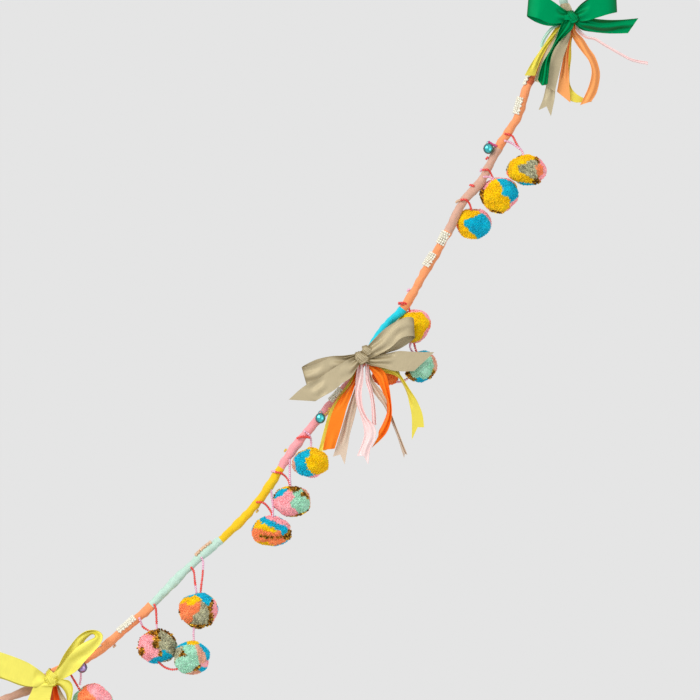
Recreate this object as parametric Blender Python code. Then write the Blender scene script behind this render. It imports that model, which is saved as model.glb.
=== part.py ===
"""Ribbon garland: a wound rope with satin bows, bunches of ribbon, wool pompoms and bead strands.

The garland hangs in the plane of X (right) and Z (up), and -Y points to the viewer. The origin is
the top of the loop that it hangs from. Places across and down the garland are read in the frame of
the photograph, 700 units each way, and PIXEL turns them into metres. Everything else is a real size.
"""
import math
from collections import namedtuple

import bmesh
import bpy
from mathutils import Vector
from mathutils.bvhtree import BVHTree

PIXEL = 0.00128
HANG_ACROSS = 569.0
HANG_DOWN = -48.0
MM = 0.001

GAP = 0.0003
SEAT = 0.0005
HUG = 0.0025
ROPE_RADIUS = 0.0057
ROPE_SWELL = 0.0004
ROPE_SWELL_RUN = 0.0093
ROPE_STEP = 0.018
ROPE_END = 0.0015
CORD_RADIUS = 0.0015
STRAND_RADIUS = 0.0012
RIBBON_THICKNESS = 0.001
SATIN_WIDTH = 0.025
BROAD_WIDTH = 0.018
MIDDLE_WIDTH = 0.015
SLIM_WIDTH = 0.012
THREAD_WIDTH = 0.006
PLEAT_SHARE = 0.3
KNOT_HALVES = (0.0072, 0.0048, 0.0085)
BAND_HALF_ACROSS = 0.0122
BAND_HALF_HIGH = 0.0034
BAND_HALF_THICK = 0.0006
BAND_FRONT = -0.0262
BAND_SQUARE = 2 / 3
BAND_STEPS = 20
END_LOOP_HALF = 0.0032
END_LOOP_BULGE = 0.014
END_LOOP_STEPS = 14
LOWER_LOOP_LENGTH = 0.02
BELL_RADIUS = 0.007
BELL_SIDES = 16

# Shares of a pompom's half size.
LOCK_HEIGHT = 0.2
LOCK_INSET = 0.055
LOCK_SPREAD = 0.05
LOCK_FLARE = 1.08
LOCK_RIM = 0.985

# How a strand's end is found on a pompom, and the straight piece that it ends with.
SEAT_LOOK = 0.06
SEAT_RAYS = 12
STRAND_LEAD = 0.002

Way = namedtuple("Way", "across down")
Stretch = namedtuple("Stretch", "name top bottom colour")
Row = namedtuple("Row", "outer_across outer_down inner_across inner_down depth_mm lean")
Ball = namedtuple("Ball", "name across down wide_mm high_mm depth_mm colour")
Bell = namedtuple("Bell", "name across down colour")
Bead = namedtuple("Bead", "across down depth_mm")
Strand = namedtuple("Strand", "name start_ball end_ball colour route")
Ribbon = namedtuple("Ribbon", "name rows width steps columns notches colour")
Bow = namedtuple("Bow", "name knot_across knot_down knot_depth_mm band_across band_down turn colour strips")
Strip = namedtuple("Strip", "rows notch")
Ring = namedtuple("Ring", "height girth")

# Colours as they look, red, green and blue from 0 to 255.
MINT = (195, 225, 210)
PEACH = (252, 155, 100)
TAN = (215, 165, 135)
TURQUOISE = (20, 195, 215)
PINK = (250, 150, 165)
MUSTARD = (242, 196, 20)
GREEN = (5, 140, 85)
TAUPE = (190, 176, 138)
LEMON = (240, 225, 90)
YELLOW = (232, 212, 70)
ORANGE = (252, 135, 50)
ROSE_TAUPE = (190, 165, 145)
PALE_PINK = (253, 200, 205)
CORAL = (235, 75, 75)
BEAD_PINK = (250, 165, 195)
LILAC = (150, 120, 200)
CREAM = (235, 230, 215)

ROPE_ROUTE = (
    Way(566, -30), Way(563.6, -14), Way(563.5, 0), Way(566, 18), Way(562, 32), Way(552, 48),
    Way(541, 64), Way(531, 80), Way(524, 95), Way(518, 116), Way(511, 128), Way(502, 142),
    Way(491, 162), Way(480, 183), Way(463, 202), Way(450, 228), Way(439, 248), Way(426, 270),
    Way(413, 293), Way(400.5, 312), Way(386, 326), Way(366, 357), Way(348, 384), Way(331, 404.5),
    Way(311, 427.5), Way(294, 448), Way(279, 471), Way(264, 494), Way(244, 518), Way(223, 538),
    Way(202, 555.5), Way(172, 584), Way(147, 610), Way(124, 630), Way(100, 650), Way(76, 664),
    Way(52, 673), Way(30, 689), Way(0, 701), Way(-16, 708), Way(-32, 716),
)

ROPE_STRETCHES = (
    Stretch("rope_mint_top", -30, 12, MINT),
    Stretch("rope_peach_upper", 12, 148, PEACH),
    Stretch("rope_tan_upper", 148, 231.5, TAN),
    Stretch("rope_peach_middle", 231.5, 308.7, PEACH),
    Stretch("rope_turquoise", 308.7, 355, TURQUOISE),
    Stretch("rope_pink", 355, 467.5, PINK),
    Stretch("rope_mustard", 467.5, 539.7, MUSTARD),
    Stretch("rope_mint_lower", 539.7, 605.3, MINT),
    Stretch("rope_peach_lower", 605.3, 673, PEACH),
    Stretch("rope_tan_end", 673, 716, TAN),
)

# A depth of None puts the ball or bell just clear of the rope's side.
BALLS = (
    Ball("pompom_01", 526.5, 170, 49, 36, None, MUSTARD),
    Ball("pompom_02", 499.7, 194.5, 49, 45, None, MUSTARD),
    Ball("pompom_03", 473.5, 223.4, 47, 36, None, TURQUOISE),
    Ball("pompom_04", 414, 326, 43, 42, None, MUSTARD),
    Ball("pompom_05", 421, 366, 42, 40, 9, MINT),
    Ball("pompom_06", 386, 373, 35, 36, 13, ORANGE),
    Ball("pompom_07", 310.5, 462.5, 47, 37, None, TURQUOISE),
    Ball("pompom_08", 292, 501.3, 48, 38, None, PINK),
    Ball("pompom_09", 271.8, 531.3, 50, 36, None, MUSTARD),
    Ball("pompom_10", 198.8, 609.6, 50, 43, 0, ORANGE),
    Ball("pompom_11", 157.5, 646.5, 51, 42, None, PINK),
    Ball("pompom_12", 191.5, 657, 47, 43, -8, MINT),
    Ball("pompom_13", 93, 703, 50, 47, 2, PINK),
)

BELLS = (
    Bell("bell_upper", 488.3, 148.8, TURQUOISE),
    Bell("bell_middle", 320.4, 418, TURQUOISE),
    Bell("bell_lower", 82.5, 667, LILAC),
)

# Heights and girths of a bell as shares of its radius, with the raised seam round its middle.
BELL_RINGS = (
    Ring(-0.92, 0.376), Ring(-0.66, 0.721), Ring(-0.25, 0.93), Ring(-0.07, 0.948), Ring(-0.07, 0.998),
    Ring(0.07, 0.998), Ring(0.07, 0.948), Ring(0.25, 0.93), Ring(0.66, 0.721), Ring(0.92, 0.376),
)

STRANDS = (
    Strand("strand_01", None, "pompom_01", CORAL, (
        Bead(501, 136, -9), Bead(508, 135, -9), Bead(513, 139, -5), Bead(517, 146, -1),
        Bead(522, 151, 0))),
    Strand("strand_02", None, "pompom_02", CORAL, (
        Bead(482, 168, -9), Bead(488, 170, -8), Bead(491, 174, -2))),
    Strand("strand_03", None, "pompom_03", BEAD_PINK, (
        Bead(460, 199, -9), Bead(466, 200, -8), Bead(470, 205, -2))),
    Strand("strand_04", None, "pompom_04", CORAL, (
        Bead(399, 303, -9), Bead(404.5, 303, -8), Bead(408, 307, 0))),
    Strand("strand_05", "pompom_04", "pompom_05", BEAD_PINK, (
        Bead(414, 345, 10), Bead(415, 348, 9))),
    Strand("strand_06", "pompom_06", "pompom_05", BEAD_PINK, (
        Bead(401, 379, 11), Bead(404, 378, 10))),
    Strand("strand_07", None, "pompom_07", CORAL, (
        Bead(297.5, 437.5, -9), Bead(304, 434, -9), Bead(309, 434.5, -6), Bead(311, 440, -2))),
    Strand("strand_08", None, "pompom_08", CORAL, (
        Bead(276, 471, -9), Bead(281, 471, -8), Bead(286, 475, -3), Bead(289, 480, 0))),
    Strand("strand_09", None, "pompom_09", CORAL, (
        Bead(257, 502, -9), Bead(263, 502, -7), Bead(268, 507, -2), Bead(272, 512, 0))),
    Strand("strand_10", None, "pompom_10", CORAL, (
        Bead(190, 565, -8), Bead(193, 569, -7), Bead(195, 580, 0))),
    Strand("strand_11", None, "pompom_10", BEAD_PINK, (
        Bead(199, 555, -8), Bead(203, 560, -6), Bead(202.7, 574, 0), Bead(201.5, 584, 0))),
    Strand("strand_12", "pompom_10", "pompom_12", BEAD_PINK, (
        Bead(194, 630, -3), Bead(193.5, 636, -5))),
    Strand("strand_13", None, "pompom_11", CORAL, (
        Bead(152, 605, -9), Bead(156, 608, -7), Bead(156.5, 620, 3))),
    Strand("strand_14", None, "pompom_11", BEAD_PINK, (
        Bead(138, 617, -9), Bead(141, 622, -7), Bead(143, 627, 2))),
    Strand("strand_15", "pompom_11", "pompom_12", CORAL, (
        Bead(162, 664.5, -2), Bead(170, 670, -9), Bead(176, 669, -9))),
    Strand("strand_16", None, "pompom_13", BEAD_PINK, (
        Bead(70, 662, -8), Bead(71.5, 670, -7), Bead(74.5, 679, -2), Bead(79, 686, 1))),
)

# Ribbons folded over at a knot: the rows run up the left tail, over the fold and down the right tail.
GREEN_YELLOW = (
    Row(524.3, 75.9, 534.9, 75.9, -9.5, 0), Row(531.7, 62.9, 539.5, 62.9, -9.8, 0),
    Row(542.8, 46.3, 548.5, 45.5, -9.8, 0), Row(554.8, 29, 558.5, 33, -8.8, 0),
    Row(563.5, 17.5, 567, 19, -7.8, 0), Row(569, 10.5, 569, 15, -7.8, 0),
    Row(574.5, 18, 571, 20, -7.8, 0), Row(573, 32, 567, 33, -8, 0), Row(571.2, 43, 563.5, 44, -8.3, 0),
    Row(571, 57, 564, 58, -8.5, 0), Row(569.3, 71, 563, 73, -8.8, 0), Row(569.8, 85, 563, 88, -9, 0),
    Row(576.5, 94.5, 568, 99.5, -9.5, 0), Row(591.8, 102.2, 576, 103, -9.8, 0),
)
GREEN_ORANGE = (
    Row(556.6, 92, 570, 103, -12.2, 0), Row(559.8, 74, 568.5, 77, -12.4, 0),
    Row(563.1, 58, 568, 60, -12.6, 0.1), Row(566, 45, 569, 46, -12.4, 0.1),
    Row(567.3, 31, 571, 32, -12, 0),
    Row(566.5, 18, 569.5, 20, -11.4, 0), Row(570.5, 11, 570.5, 15.5, -11.4, 0),
    Row(575.5, 19, 572, 21, -11.4, 0),
    Row(575, 30, 571.4, 34.5, -12.2, 0), Row(582.5, 38.9, 575.1, 43.5, -15, -0.4),
    Row(589, 49, 581.6, 52.7, -17, -0.7), Row(594.8, 57.4, 588, 61.1, -18, -0.7),
    Row(599, 70, 591, 70.3, -17, -0.6), Row(599.3, 80, 590.4, 79, -16, -0.5),
    Row(596.3, 93, 587, 90.5, -14, -0.3), Row(590.9, 101.8, 579.8, 105.5, -13, 0),
)
GREEN_TAUPE = (
    Row(538.1, 110.5, 550.6, 116.6, -14.2, 0), Row(542.8, 99, 554, 100, -14.6, 0),
    Row(546, 86, 555, 89, -15.2, 0), Row(551, 68, 558.5, 69, -16, 0), Row(557, 50, 564, 51, -16, 0),
    Row(562, 34, 568, 36, -15, 0), Row(563.5, 20, 570.5, 21, -13.5, 0), Row(562, 11, 572, 11, -13.2, 0),
    Row(560.5, 4.6, 573, 4.6, -14.4, 0), Row(562, 11, 572, 11, -15.6, 0),
    Row(564.5, 20, 571, 21, -15.3, 0),
    Row(563.5, 33, 570.3, 34, -17.8, 0), Row(556.5, 43, 567.2, 45, -19.6, 0),
    Row(549.5, 57, 562.2, 60.1, -20, 0), Row(546, 71, 559.6, 70, -19.5, 0),
    Row(544.5, 85.5, 554.3, 92.5, -18.5, 0),
)
GREEN_SHADOW_TAUPE = (
    Row(534, 81.4, 541.5, 84, -12.8, 0), Row(537.2, 72, 545, 74, -12.9, 0),
    Row(543.4, 56.4, 551, 60, -12.9, 0),
    Row(551.5, 42.5, 558, 46, -12.4, 0), Row(558.8, 29.6, 563.5, 32.5, -11, 0),
    Row(563, 19, 566.5, 20.5, -9.6, 0), Row(564.5, 12.5, 567.5, 13, -9.6, 0),
)
GREEN_PINK = (
    Row(573.5, 12.5, 570.5, 12.5, -9.2, 0), Row(575, 21.5, 571.8, 22, -9.2, 0),
    Row(579.5, 29.5, 577, 32, -10.5, 0.2), Row(586.5, 36.5, 585, 38.5, -11.5, 0.4),
    Row(595, 38.5, 594, 40.5, -12, 0.4), Row(604, 44, 602.9, 46, -12, 0.4),
    Row(617.8, 52, 616.8, 54, -12, 0.4), Row(631.4, 59, 630.6, 61.3, -11, 0.3),
    Row(647.6, 62.2, 647.3, 65.3, -10, 0),
)
GREEN_MINT = (
    Row(560.4, 14, 562, 14.5, -11.2, 0), Row(560.2, 20.5, 561.8, 21.8, -11.2, 0),
    Row(556.5, 24.5, 558.3, 26.5, -10.4, 0),
    Row(550.5, 28, 552, 30.5, -10.4, 0), Row(546, 33, 548, 35.5, -9, 0),
    Row(542, 39.5, 544.5, 41.5, -8.5, 0),
    Row(539.5, 47, 542.5, 48, -8, 0),
)
TAUPE_YELLOW = (
    Row(318.5, 451, 326.5, 450, -14, 0), Row(321.3, 440, 331, 440, -14, 0),
    Row(325.5, 424, 335, 426, -14, 0),
    Row(329.5, 411, 338.5, 414, -13.5, 0), Row(335.5, 401, 344, 405, -12.8, 0),
    Row(343, 390.5, 350, 394, -11, 0),
    Row(351.5, 378, 356, 381, -9, 0), Row(356.5, 366, 360, 367, -7.9, 0),
    Row(361, 351, 361, 355.5, -7.9, 0),
    Row(367.5, 361.5, 364.5, 364.5, -7.9, 0), Row(375, 366, 372.5, 369.5, -7.9, 0),
    Row(385, 368, 383.5, 372.5, -8, 0),
    Row(395.5, 370.5, 393, 374.5, -9, 0), Row(401.8, 377, 399.8, 379.5, -10, 0.2),
    Row(409.5, 389.3, 406.1, 391, -11, 0.4), Row(417.3, 401.6, 409.6, 405, -11, 0.2),
    Row(422.3, 413.8, 411.7, 418.3, -11, 0), Row(424, 427.2, 411.7, 439.5, -11, 0),
)
TAUPE_ORANGE = (
    Row(323, 449.6, 334.7, 448.4, -18, 0), Row(328, 426.1, 342.5, 423.5, -19, 0),
    Row(333.6, 409.4, 347, 407.1, -19, 0), Row(341.4, 396, 351.4, 395.5, -18, 0),
    Row(349.2, 386.5, 355, 385, -16, 0), Row(354, 377.5, 358, 378.5, -14, 0),
    Row(357, 367, 360.5, 368, -11.9, 0),
    Row(362, 351, 362, 355.5, -11.7, 0), Row(368, 362, 364.8, 365, -11.9, 0),
    Row(375, 365.5, 370.5, 370, -14, 0),
    Row(384.5, 372, 376.5, 379, -16.5, 0), Row(388.3, 384, 381.6, 389.5, -18, 0.1),
    Row(390.5, 398, 386, 400.5, -18.5, 0.15), Row(391.6, 411.6, 387.1, 411, -18.5, 0.15),
    Row(389.9, 424, 383.8, 421, -17.5, 0.1), Row(384.5, 435, 380.5, 427.5, -16.5, 0),
    Row(371.5, 447.9, 378.8, 431, -16, 0),
)
TAUPE_TAUPE = (
    Row(333, 456.5, 344.7, 464, -12.6, 0), Row(337, 444, 347.5, 448.4, -12.6, 0),
    Row(341.5, 430, 350, 433.5, -12.4, 0), Row(345.5, 416, 354.5, 416.5, -12.2, 0),
    Row(350, 402, 357.3, 402.7, -12.2, 0), Row(354, 391, 358.5, 390.5, -12.2, 0),
    Row(357.3, 379, 360.8, 379.5, -11.4, 0), Row(358.8, 367.5, 361.8, 368.5, -9.9, 0),
    Row(362.8, 351, 362.8, 355.5, -9.8, 0), Row(368, 362.5, 365, 365, -9.8, 0),
    Row(370.5, 373.5, 366.5, 375, -11.2, 0),
    Row(375, 383, 369.5, 385.5, -12.4, 0), Row(383.6, 393.8, 376, 396, -13.2, 0),
    Row(388, 405, 383.8, 406, -13.4, 0.2), Row(393, 418.3, 390.8, 420.5, -13.4, 0.3),
    Row(399.3, 434.5, 397.2, 436, -13.4, 0.3), Row(407.2, 454.6, 403.9, 457.5, -13.4, 0.2),
)
TAUPE_PINK = (
    Row(357, 455.7, 368.2, 464.1, -20.5, 0), Row(361, 446, 370, 449, -21, 0),
    Row(364.2, 435, 375, 438.5, -21.5, 0),
    Row(363.3, 425, 374.8, 427, -22, 0), Row(360, 413.8, 367, 417, -22, 0),
    Row(356.8, 404, 362.6, 405.5, -21.5, 0),
    Row(355.3, 392.6, 361.6, 392, -21, 0), Row(355.9, 378.5, 363.3, 379, -19, 0),
    Row(357.5, 368, 363.3, 369.5, -16, 0),
    Row(358.8, 361, 362.5, 362, -13.8, 0), Row(363.5, 351, 363.5, 355, -13.8, 0),
    Row(368, 361, 365, 363.5, -13.8, 0),
    Row(368.8, 371, 365.6, 372.5, -15.6, 0), Row(369.3, 380, 366, 382, -17.5, 0),
    Row(372, 389, 368.8, 391.3, -18.5, 0),
    Row(374.2, 400, 371, 402, -18.5, 0), Row(375.6, 412, 371.7, 413.5, -18.5, 0),
    Row(376.2, 425, 372.2, 424, -18.2, 0),
)
LEMON_ORANGE = (
    Row(50.5, 670.5, 54.5, 671.5, -9.6, 0), Row(51.5, 681, 56.5, 682, -10, 0),
    Row(51.5, 691, 58.5, 692, -11.5, 0),
    Row(50, 702, 60, 703, -12.5, 0), Row(45.5, 718, 58, 721, -13, 0), Row(42, 742, 55.5, 745, -13, 0),
    Row(38.5, 768, 53, 775, -13, 0),
)
LEMON_TAUPE = (
    Row(52.5, 670.5, 56, 671.5, -7.9, 0), Row(53.5, 680.5, 57.5, 681.5, -8, 0),
    Row(55.5, 690, 62, 691.5, -8.5, 0),
    Row(58.5, 702, 68, 702.5, -9, 0), Row(60.5, 718, 71.5, 719, -9.5, 0), Row(62, 738, 74, 740, -10, 0),
    Row(63.5, 762, 76, 768, -10, 0),
)

# Bow loops run out along the front and back along the rear; tails run from the knot to the cut.
GREEN_LOOP_LEFT = (
    Row(570, 14, 571, 22, -21.5, 0), Row(562, 9.5, 563, 24, -24.5, 0), Row(553, 3, 549.5, 24.5, -27, 0),
    Row(541, -4, 537, 19.5, -27, 0), Row(528.5, -6, 526.6, 16.8, -18, 0),
    Row(540, -5, 535, 22.3, -10, 0),
    Row(551, 1, 547, 26.2, -12, 0), Row(560.5, 8, 559, 26, -18, 0),
    Row(570, 14.5, 570.5, 22.5, -19.2, 0),
)
GREEN_LOOP_RIGHT = (
    Row(573, 13.5, 574, 22, -21.5, 0), Row(581, 6, 583, 22.5, -24.5, 0),
    Row(592, -1, 595, 19.3, -27, 0),
    Row(605, -6, 607, 15.6, -27, 0), Row(615.3, -8, 616.3, 13, -18, 0), Row(605, -8, 606, 14, -9, 0),
    Row(592, -3, 594, 17, -9, 0), Row(581, 4.5, 582.5, 20, -15, 0), Row(573, 13.5, 574, 21, -19, 0),
)
GREEN_TAIL_RIGHT = (
    Row(573, 15, 573, 23, -20, 0), Row(583, 18, 580.5, 30.3, -19, 0),
    Row(593.6, 19.9, 593.6, 32.6, -17, 0.5),
    Row(607.5, 21, 607.5, 33.8, -15, 0.6), Row(622, 20.6, 617.5, 33.9, -14, 0.5),
    Row(637.6, 19, 627.4, 33.8, -14, 0.2),
)
GREEN_TAIL_DOWN = (
    Row(567, 17, 573.5, 21, -21.5, 0), Row(561.3, 24, 571.5, 30, -25, 0),
    Row(555.9, 38, 560.8, 40.5, -26.5, 0),
    Row(550.4, 50, 553.2, 50.5, -27.5, 0.25), Row(541.8, 64.8, 549.2, 64, -27, 0),
    Row(537.2, 80.5, 546.9, 85.1, -26, 0),
)
TAUPE_LOOP_LEFT = (
    Row(360, 353, 360, 360, -21.2, 0), Row(345, 357.5, 348, 371, -24, 0),
    Row(330, 358.5, 335, 377, -25.5, 0),
    Row(316, 363.8, 321.5, 382, -25, 0), Row(302, 367.3, 306.8, 384.5, -17, 0),
    Row(315, 360, 320, 380, -9, 0),
    Row(330, 356.4, 334, 374, -9, 0), Row(344, 355.6, 346, 370, -14, 0),
    Row(358.5, 353.5, 358.5, 360.5, -18.8, 0),
)
TAUPE_TAIL_LEFT = (
    Row(358.5, 355.5, 360, 363, -21.5, 0), Row(349, 359, 351.4, 377, -28, 0),
    Row(340, 364, 342.5, 383, -30, 0),
    Row(330, 370.5, 333.6, 390.4, -31, 0), Row(318, 378.5, 323.5, 396, -30, 0),
    Row(303, 387, 318.5, 399.2, -28, 0),
    Row(289, 399.5, 315.2, 401, -26, 0),
)
TAUPE_LOOP_RIGHT = (
    Row(362.5, 352.5, 366, 360, -20.5, 0), Row(371.5, 342, 380, 354, -23.5, 0),
    Row(384, 329.5, 391.6, 346.9, -26, 0),
    Row(397, 321, 400, 339, -28, 0), Row(407.5, 317, 408, 336, -26.5, 0),
    Row(413.5, 319, 414.3, 337, -20, 0),
    Row(406, 323, 411, 341.5, -13, 0), Row(394, 331, 400, 348.5, -11.5, 0),
    Row(380, 340, 387, 353, -15, 0),
    Row(364, 353.5, 367.5, 360, -18.8, 0),
)
TAUPE_TAIL_RIGHT = (
    Row(363, 354.5, 365, 362.5, -19.6, 0), Row(373, 355.8, 371, 365.2, -20.5, 0),
    Row(387, 353.6, 383, 367.8, -21.5, 0),
    Row(399, 351, 393, 370.5, -21, 0), Row(413, 351.8, 404, 371.4, -20, 0),
    Row(434, 352.2, 413.9, 370.9, -18, 0),
)
LEMON_LOOP_RIGHT = (
    Row(50, 677, 55, 681.5, -18.8, 0), Row(58, 667, 67, 674, -15, 0), Row(64, 655, 76, 663.5, -9, 0.1),
    Row(71, 645, 81.5, 650, -9.5, 0.2), Row(79, 635.5, 84.5, 641, -11, 0.2),
    Row(88, 630, 91, 634.5, -14, 0.2),
    Row(97, 629.8, 95, 634, -19, 0), Row(103.2, 634, 95.5, 636.5, -24, 0),
    Row(102, 641.5, 89.5, 639.5, -27, 0),
    Row(95.7, 649.7, 80.5, 644.5, -28, 0), Row(86, 660, 70, 654.5, -27, 0),
    Row(76, 671, 61, 666.5, -24.5, 0),
    Row(57, 682, 51, 677, -21.5, 0),
)
LEMON_LOOP_LEFT = (
    Row(49, 676.5, 49.5, 683, -21.5, 0), Row(40, 669, 37, 685.5, -24, 0),
    Row(29, 661.5, 25, 684, -26, 0),
    Row(12, 654.5, 8, 678, -27.5, 0), Row(-6, 649, -10, 671, -27, 0), Row(-27, 646.5, -29, 668, -18, 0),
    Row(-8, 653, -11, 675, -10, 0), Row(10, 656, 6, 679.5, -10.5, 0), Row(29, 664, 26, 686, -13.5, 0),
    Row(49, 677, 49.5, 683.5, -18.8, 0),
)
LEMON_TAIL_LEFT = (
    Row(45.5, 679, 53, 682, -21.5, 0), Row(36, 683.5, 54, 684, -24, 0),
    Row(31.9, 691.5, 52.6, 690.5, -23.5, 0),
    Row(27.9, 701, 50, 702, -24, 0), Row(22, 718, 43.5, 719.5, -23, 0), Row(16, 736, 37, 739, -21, 0),
    Row(10, 754, 31, 762, -19, 0),
)
LEMON_TAIL_RIGHT = (
    Row(52.5, 677.5, 53.5, 683, -20.2, 0), Row(62, 678.2, 60, 685, -20, 0.1),
    Row(70, 680, 64.5, 689.5, -19, 0.15),
    Row(73.4, 686, 67, 695, -18, 0.2), Row(72.8, 695, 67, 701.5, -17.5, 0.3),
    Row(70, 708, 63.5, 710.5, -17, 0.25),
    Row(66, 730, 56, 732, -17, 0.1), Row(62, 752, 48, 758, -17, 0),
)

RIBBONS = (
    Ribbon("green_bunch_yellow", GREEN_YELLOW, SLIM_WIDTH, 2, 3, (0, 0), YELLOW),
    Ribbon("green_bunch_orange", GREEN_ORANGE, MIDDLE_WIDTH, 1, 3, (0, 0), ORANGE),
    Ribbon("green_bunch_taupe", GREEN_TAUPE, MIDDLE_WIDTH, 1, 3, (9, 0), TAUPE),
    Ribbon("green_bunch_shadow_taupe", GREEN_SHADOW_TAUPE, SLIM_WIDTH, 2, 3, (0, 0), TAUPE),
    Ribbon("green_bunch_pink", GREEN_PINK, THREAD_WIDTH, 2, 3, (0, 0), PALE_PINK),
    Ribbon("green_bunch_mint", GREEN_MINT, THREAD_WIDTH, 2, 3, (0, 0), MINT),
    Ribbon("taupe_bunch_yellow", TAUPE_YELLOW, SLIM_WIDTH, 1, 3, (0, 8), YELLOW),
    Ribbon("taupe_bunch_orange", TAUPE_ORANGE, BROAD_WIDTH, 1, 3, (0, 6), ORANGE),
    Ribbon("taupe_bunch_taupe", TAUPE_TAUPE, MIDDLE_WIDTH, 1, 3, (8, 4), ROSE_TAUPE),
    Ribbon("taupe_bunch_pink", TAUPE_PINK, BROAD_WIDTH, 1, 3, (6, 0), PALE_PINK),
    Ribbon("lemon_bunch_orange", LEMON_ORANGE, BROAD_WIDTH, 2, 3, (0, 6), ORANGE),
    Ribbon("lemon_bunch_taupe", LEMON_TAUPE, MIDDLE_WIDTH, 2, 3, (0, 6), ROSE_TAUPE),
)

BOWS = (
    Bow("bow_green", 571.5, 18, -21.2, 567.6, 18.5, 0, GREEN, (
        Strip(GREEN_LOOP_LEFT, 0), Strip(GREEN_LOOP_RIGHT, 0), Strip(GREEN_TAIL_RIGHT, 0),
        Strip(GREEN_TAIL_DOWN, -5))),
    Bow("bow_taupe", 361.5, 357.5, -21.2, 363.8, 358.5, -15, TAUPE, (
        Strip(TAUPE_LOOP_LEFT, 0), Strip(TAUPE_LOOP_RIGHT, 0), Strip(TAUPE_TAIL_LEFT, 0),
        Strip(TAUPE_TAIL_RIGHT, 0))),
    Bow("bow_lemon", 51.5, 679, -21.2, 53.5, 674.2, -38, LEMON, (
        Strip(LEMON_LOOP_RIGHT, 0), Strip(LEMON_LOOP_LEFT, 0), Strip(LEMON_TAIL_LEFT, 0),
        Strip(LEMON_TAIL_RIGHT, 0))),
)


def place(across, down, depth=0.0):
    """Return the point in metres of a place in the photograph's frame, at a depth in metres."""
    return Vector(((across - HANG_ACROSS) * PIXEL, depth, (HANG_DOWN - down) * PIXEL))


def linear(colour):
    """Return a colour from 0 to 255 as linear red, green, blue and alpha."""
    parts = []
    for value in colour:
        share = value / 255.0
        parts.append(share / 12.92 if share <= 0.04045 else ((share + 0.055) / 1.055) ** 2.4)
    return (*parts, 1.0)


def add_material(obj, colour, roughness, metallic=0.0):
    """Give an object its own Principled material."""
    material = bpy.data.materials.new(obj.name)
    material.use_nodes = True
    shader = material.node_tree.nodes["Principled BSDF"]
    shader.inputs["Base Color"].default_value = linear(colour)
    shader.inputs["Roughness"].default_value = roughness
    shader.inputs["Metallic"].default_value = metallic
    obj.data.materials.append(material)


def add_mesh(name, points, faces, smooth_angle=0.7):
    """Link a mesh object made from points and faces."""
    mesh = bpy.data.meshes.new(name)
    mesh.from_pydata([tuple(point) for point in points], [], faces)
    mesh.update()
    mesh.shade_smooth()
    mesh.set_sharp_from_angle(angle=smooth_angle)
    obj = bpy.data.objects.new(name, mesh)
    bpy.context.collection.objects.link(obj)
    return obj


def add_tube(name, points, radius, widths=None):
    """Link a tube along points, as a curve with a round bevel and filled ends."""
    curve = bpy.data.curves.new(name, "CURVE")
    curve.dimensions = "3D"
    curve.bevel_depth = radius
    curve.bevel_resolution = 2
    curve.use_fill_caps = True
    spline = curve.splines.new("POLY")
    spline.points.add(len(points) - 1)
    for index, point in enumerate(points):
        spline.points[index].co = (*point, 1.0)
        spline.points[index].radius = widths[index] if widths else 1.0
    obj = bpy.data.objects.new(name, curve)
    bpy.context.collection.objects.link(obj)
    return obj


def between(before, start, end, after, share):
    """Return a point of the smooth curve between start and end, by Catmull and Rom's rule."""
    square = share * share
    cube = square * share
    return 0.5 * ((2 * start) + (end - before) * share + (2 * before - 5 * start + 4 * end - after) * square
                  + (3 * start - before - 3 * end + after) * cube)


def smooth_path(points, steps):
    """Return a smooth curve through points, with a number of steps for each stretch between them."""
    line = []
    last = len(points) - 1
    for index in range(last):
        before = points[max(index - 1, 0)]
        after = points[min(index + 2, last)]
        for step in range(steps):
            line.append(between(before, points[index], points[index + 1], after, step / steps))
    line.append(points[last].copy())
    return line


def rope_width(run):
    """Return the rope's radius at a length along it, with its slow swellings."""
    return ROPE_RADIUS + ROPE_SWELL * math.sin(run / ROPE_SWELL_RUN)


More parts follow.
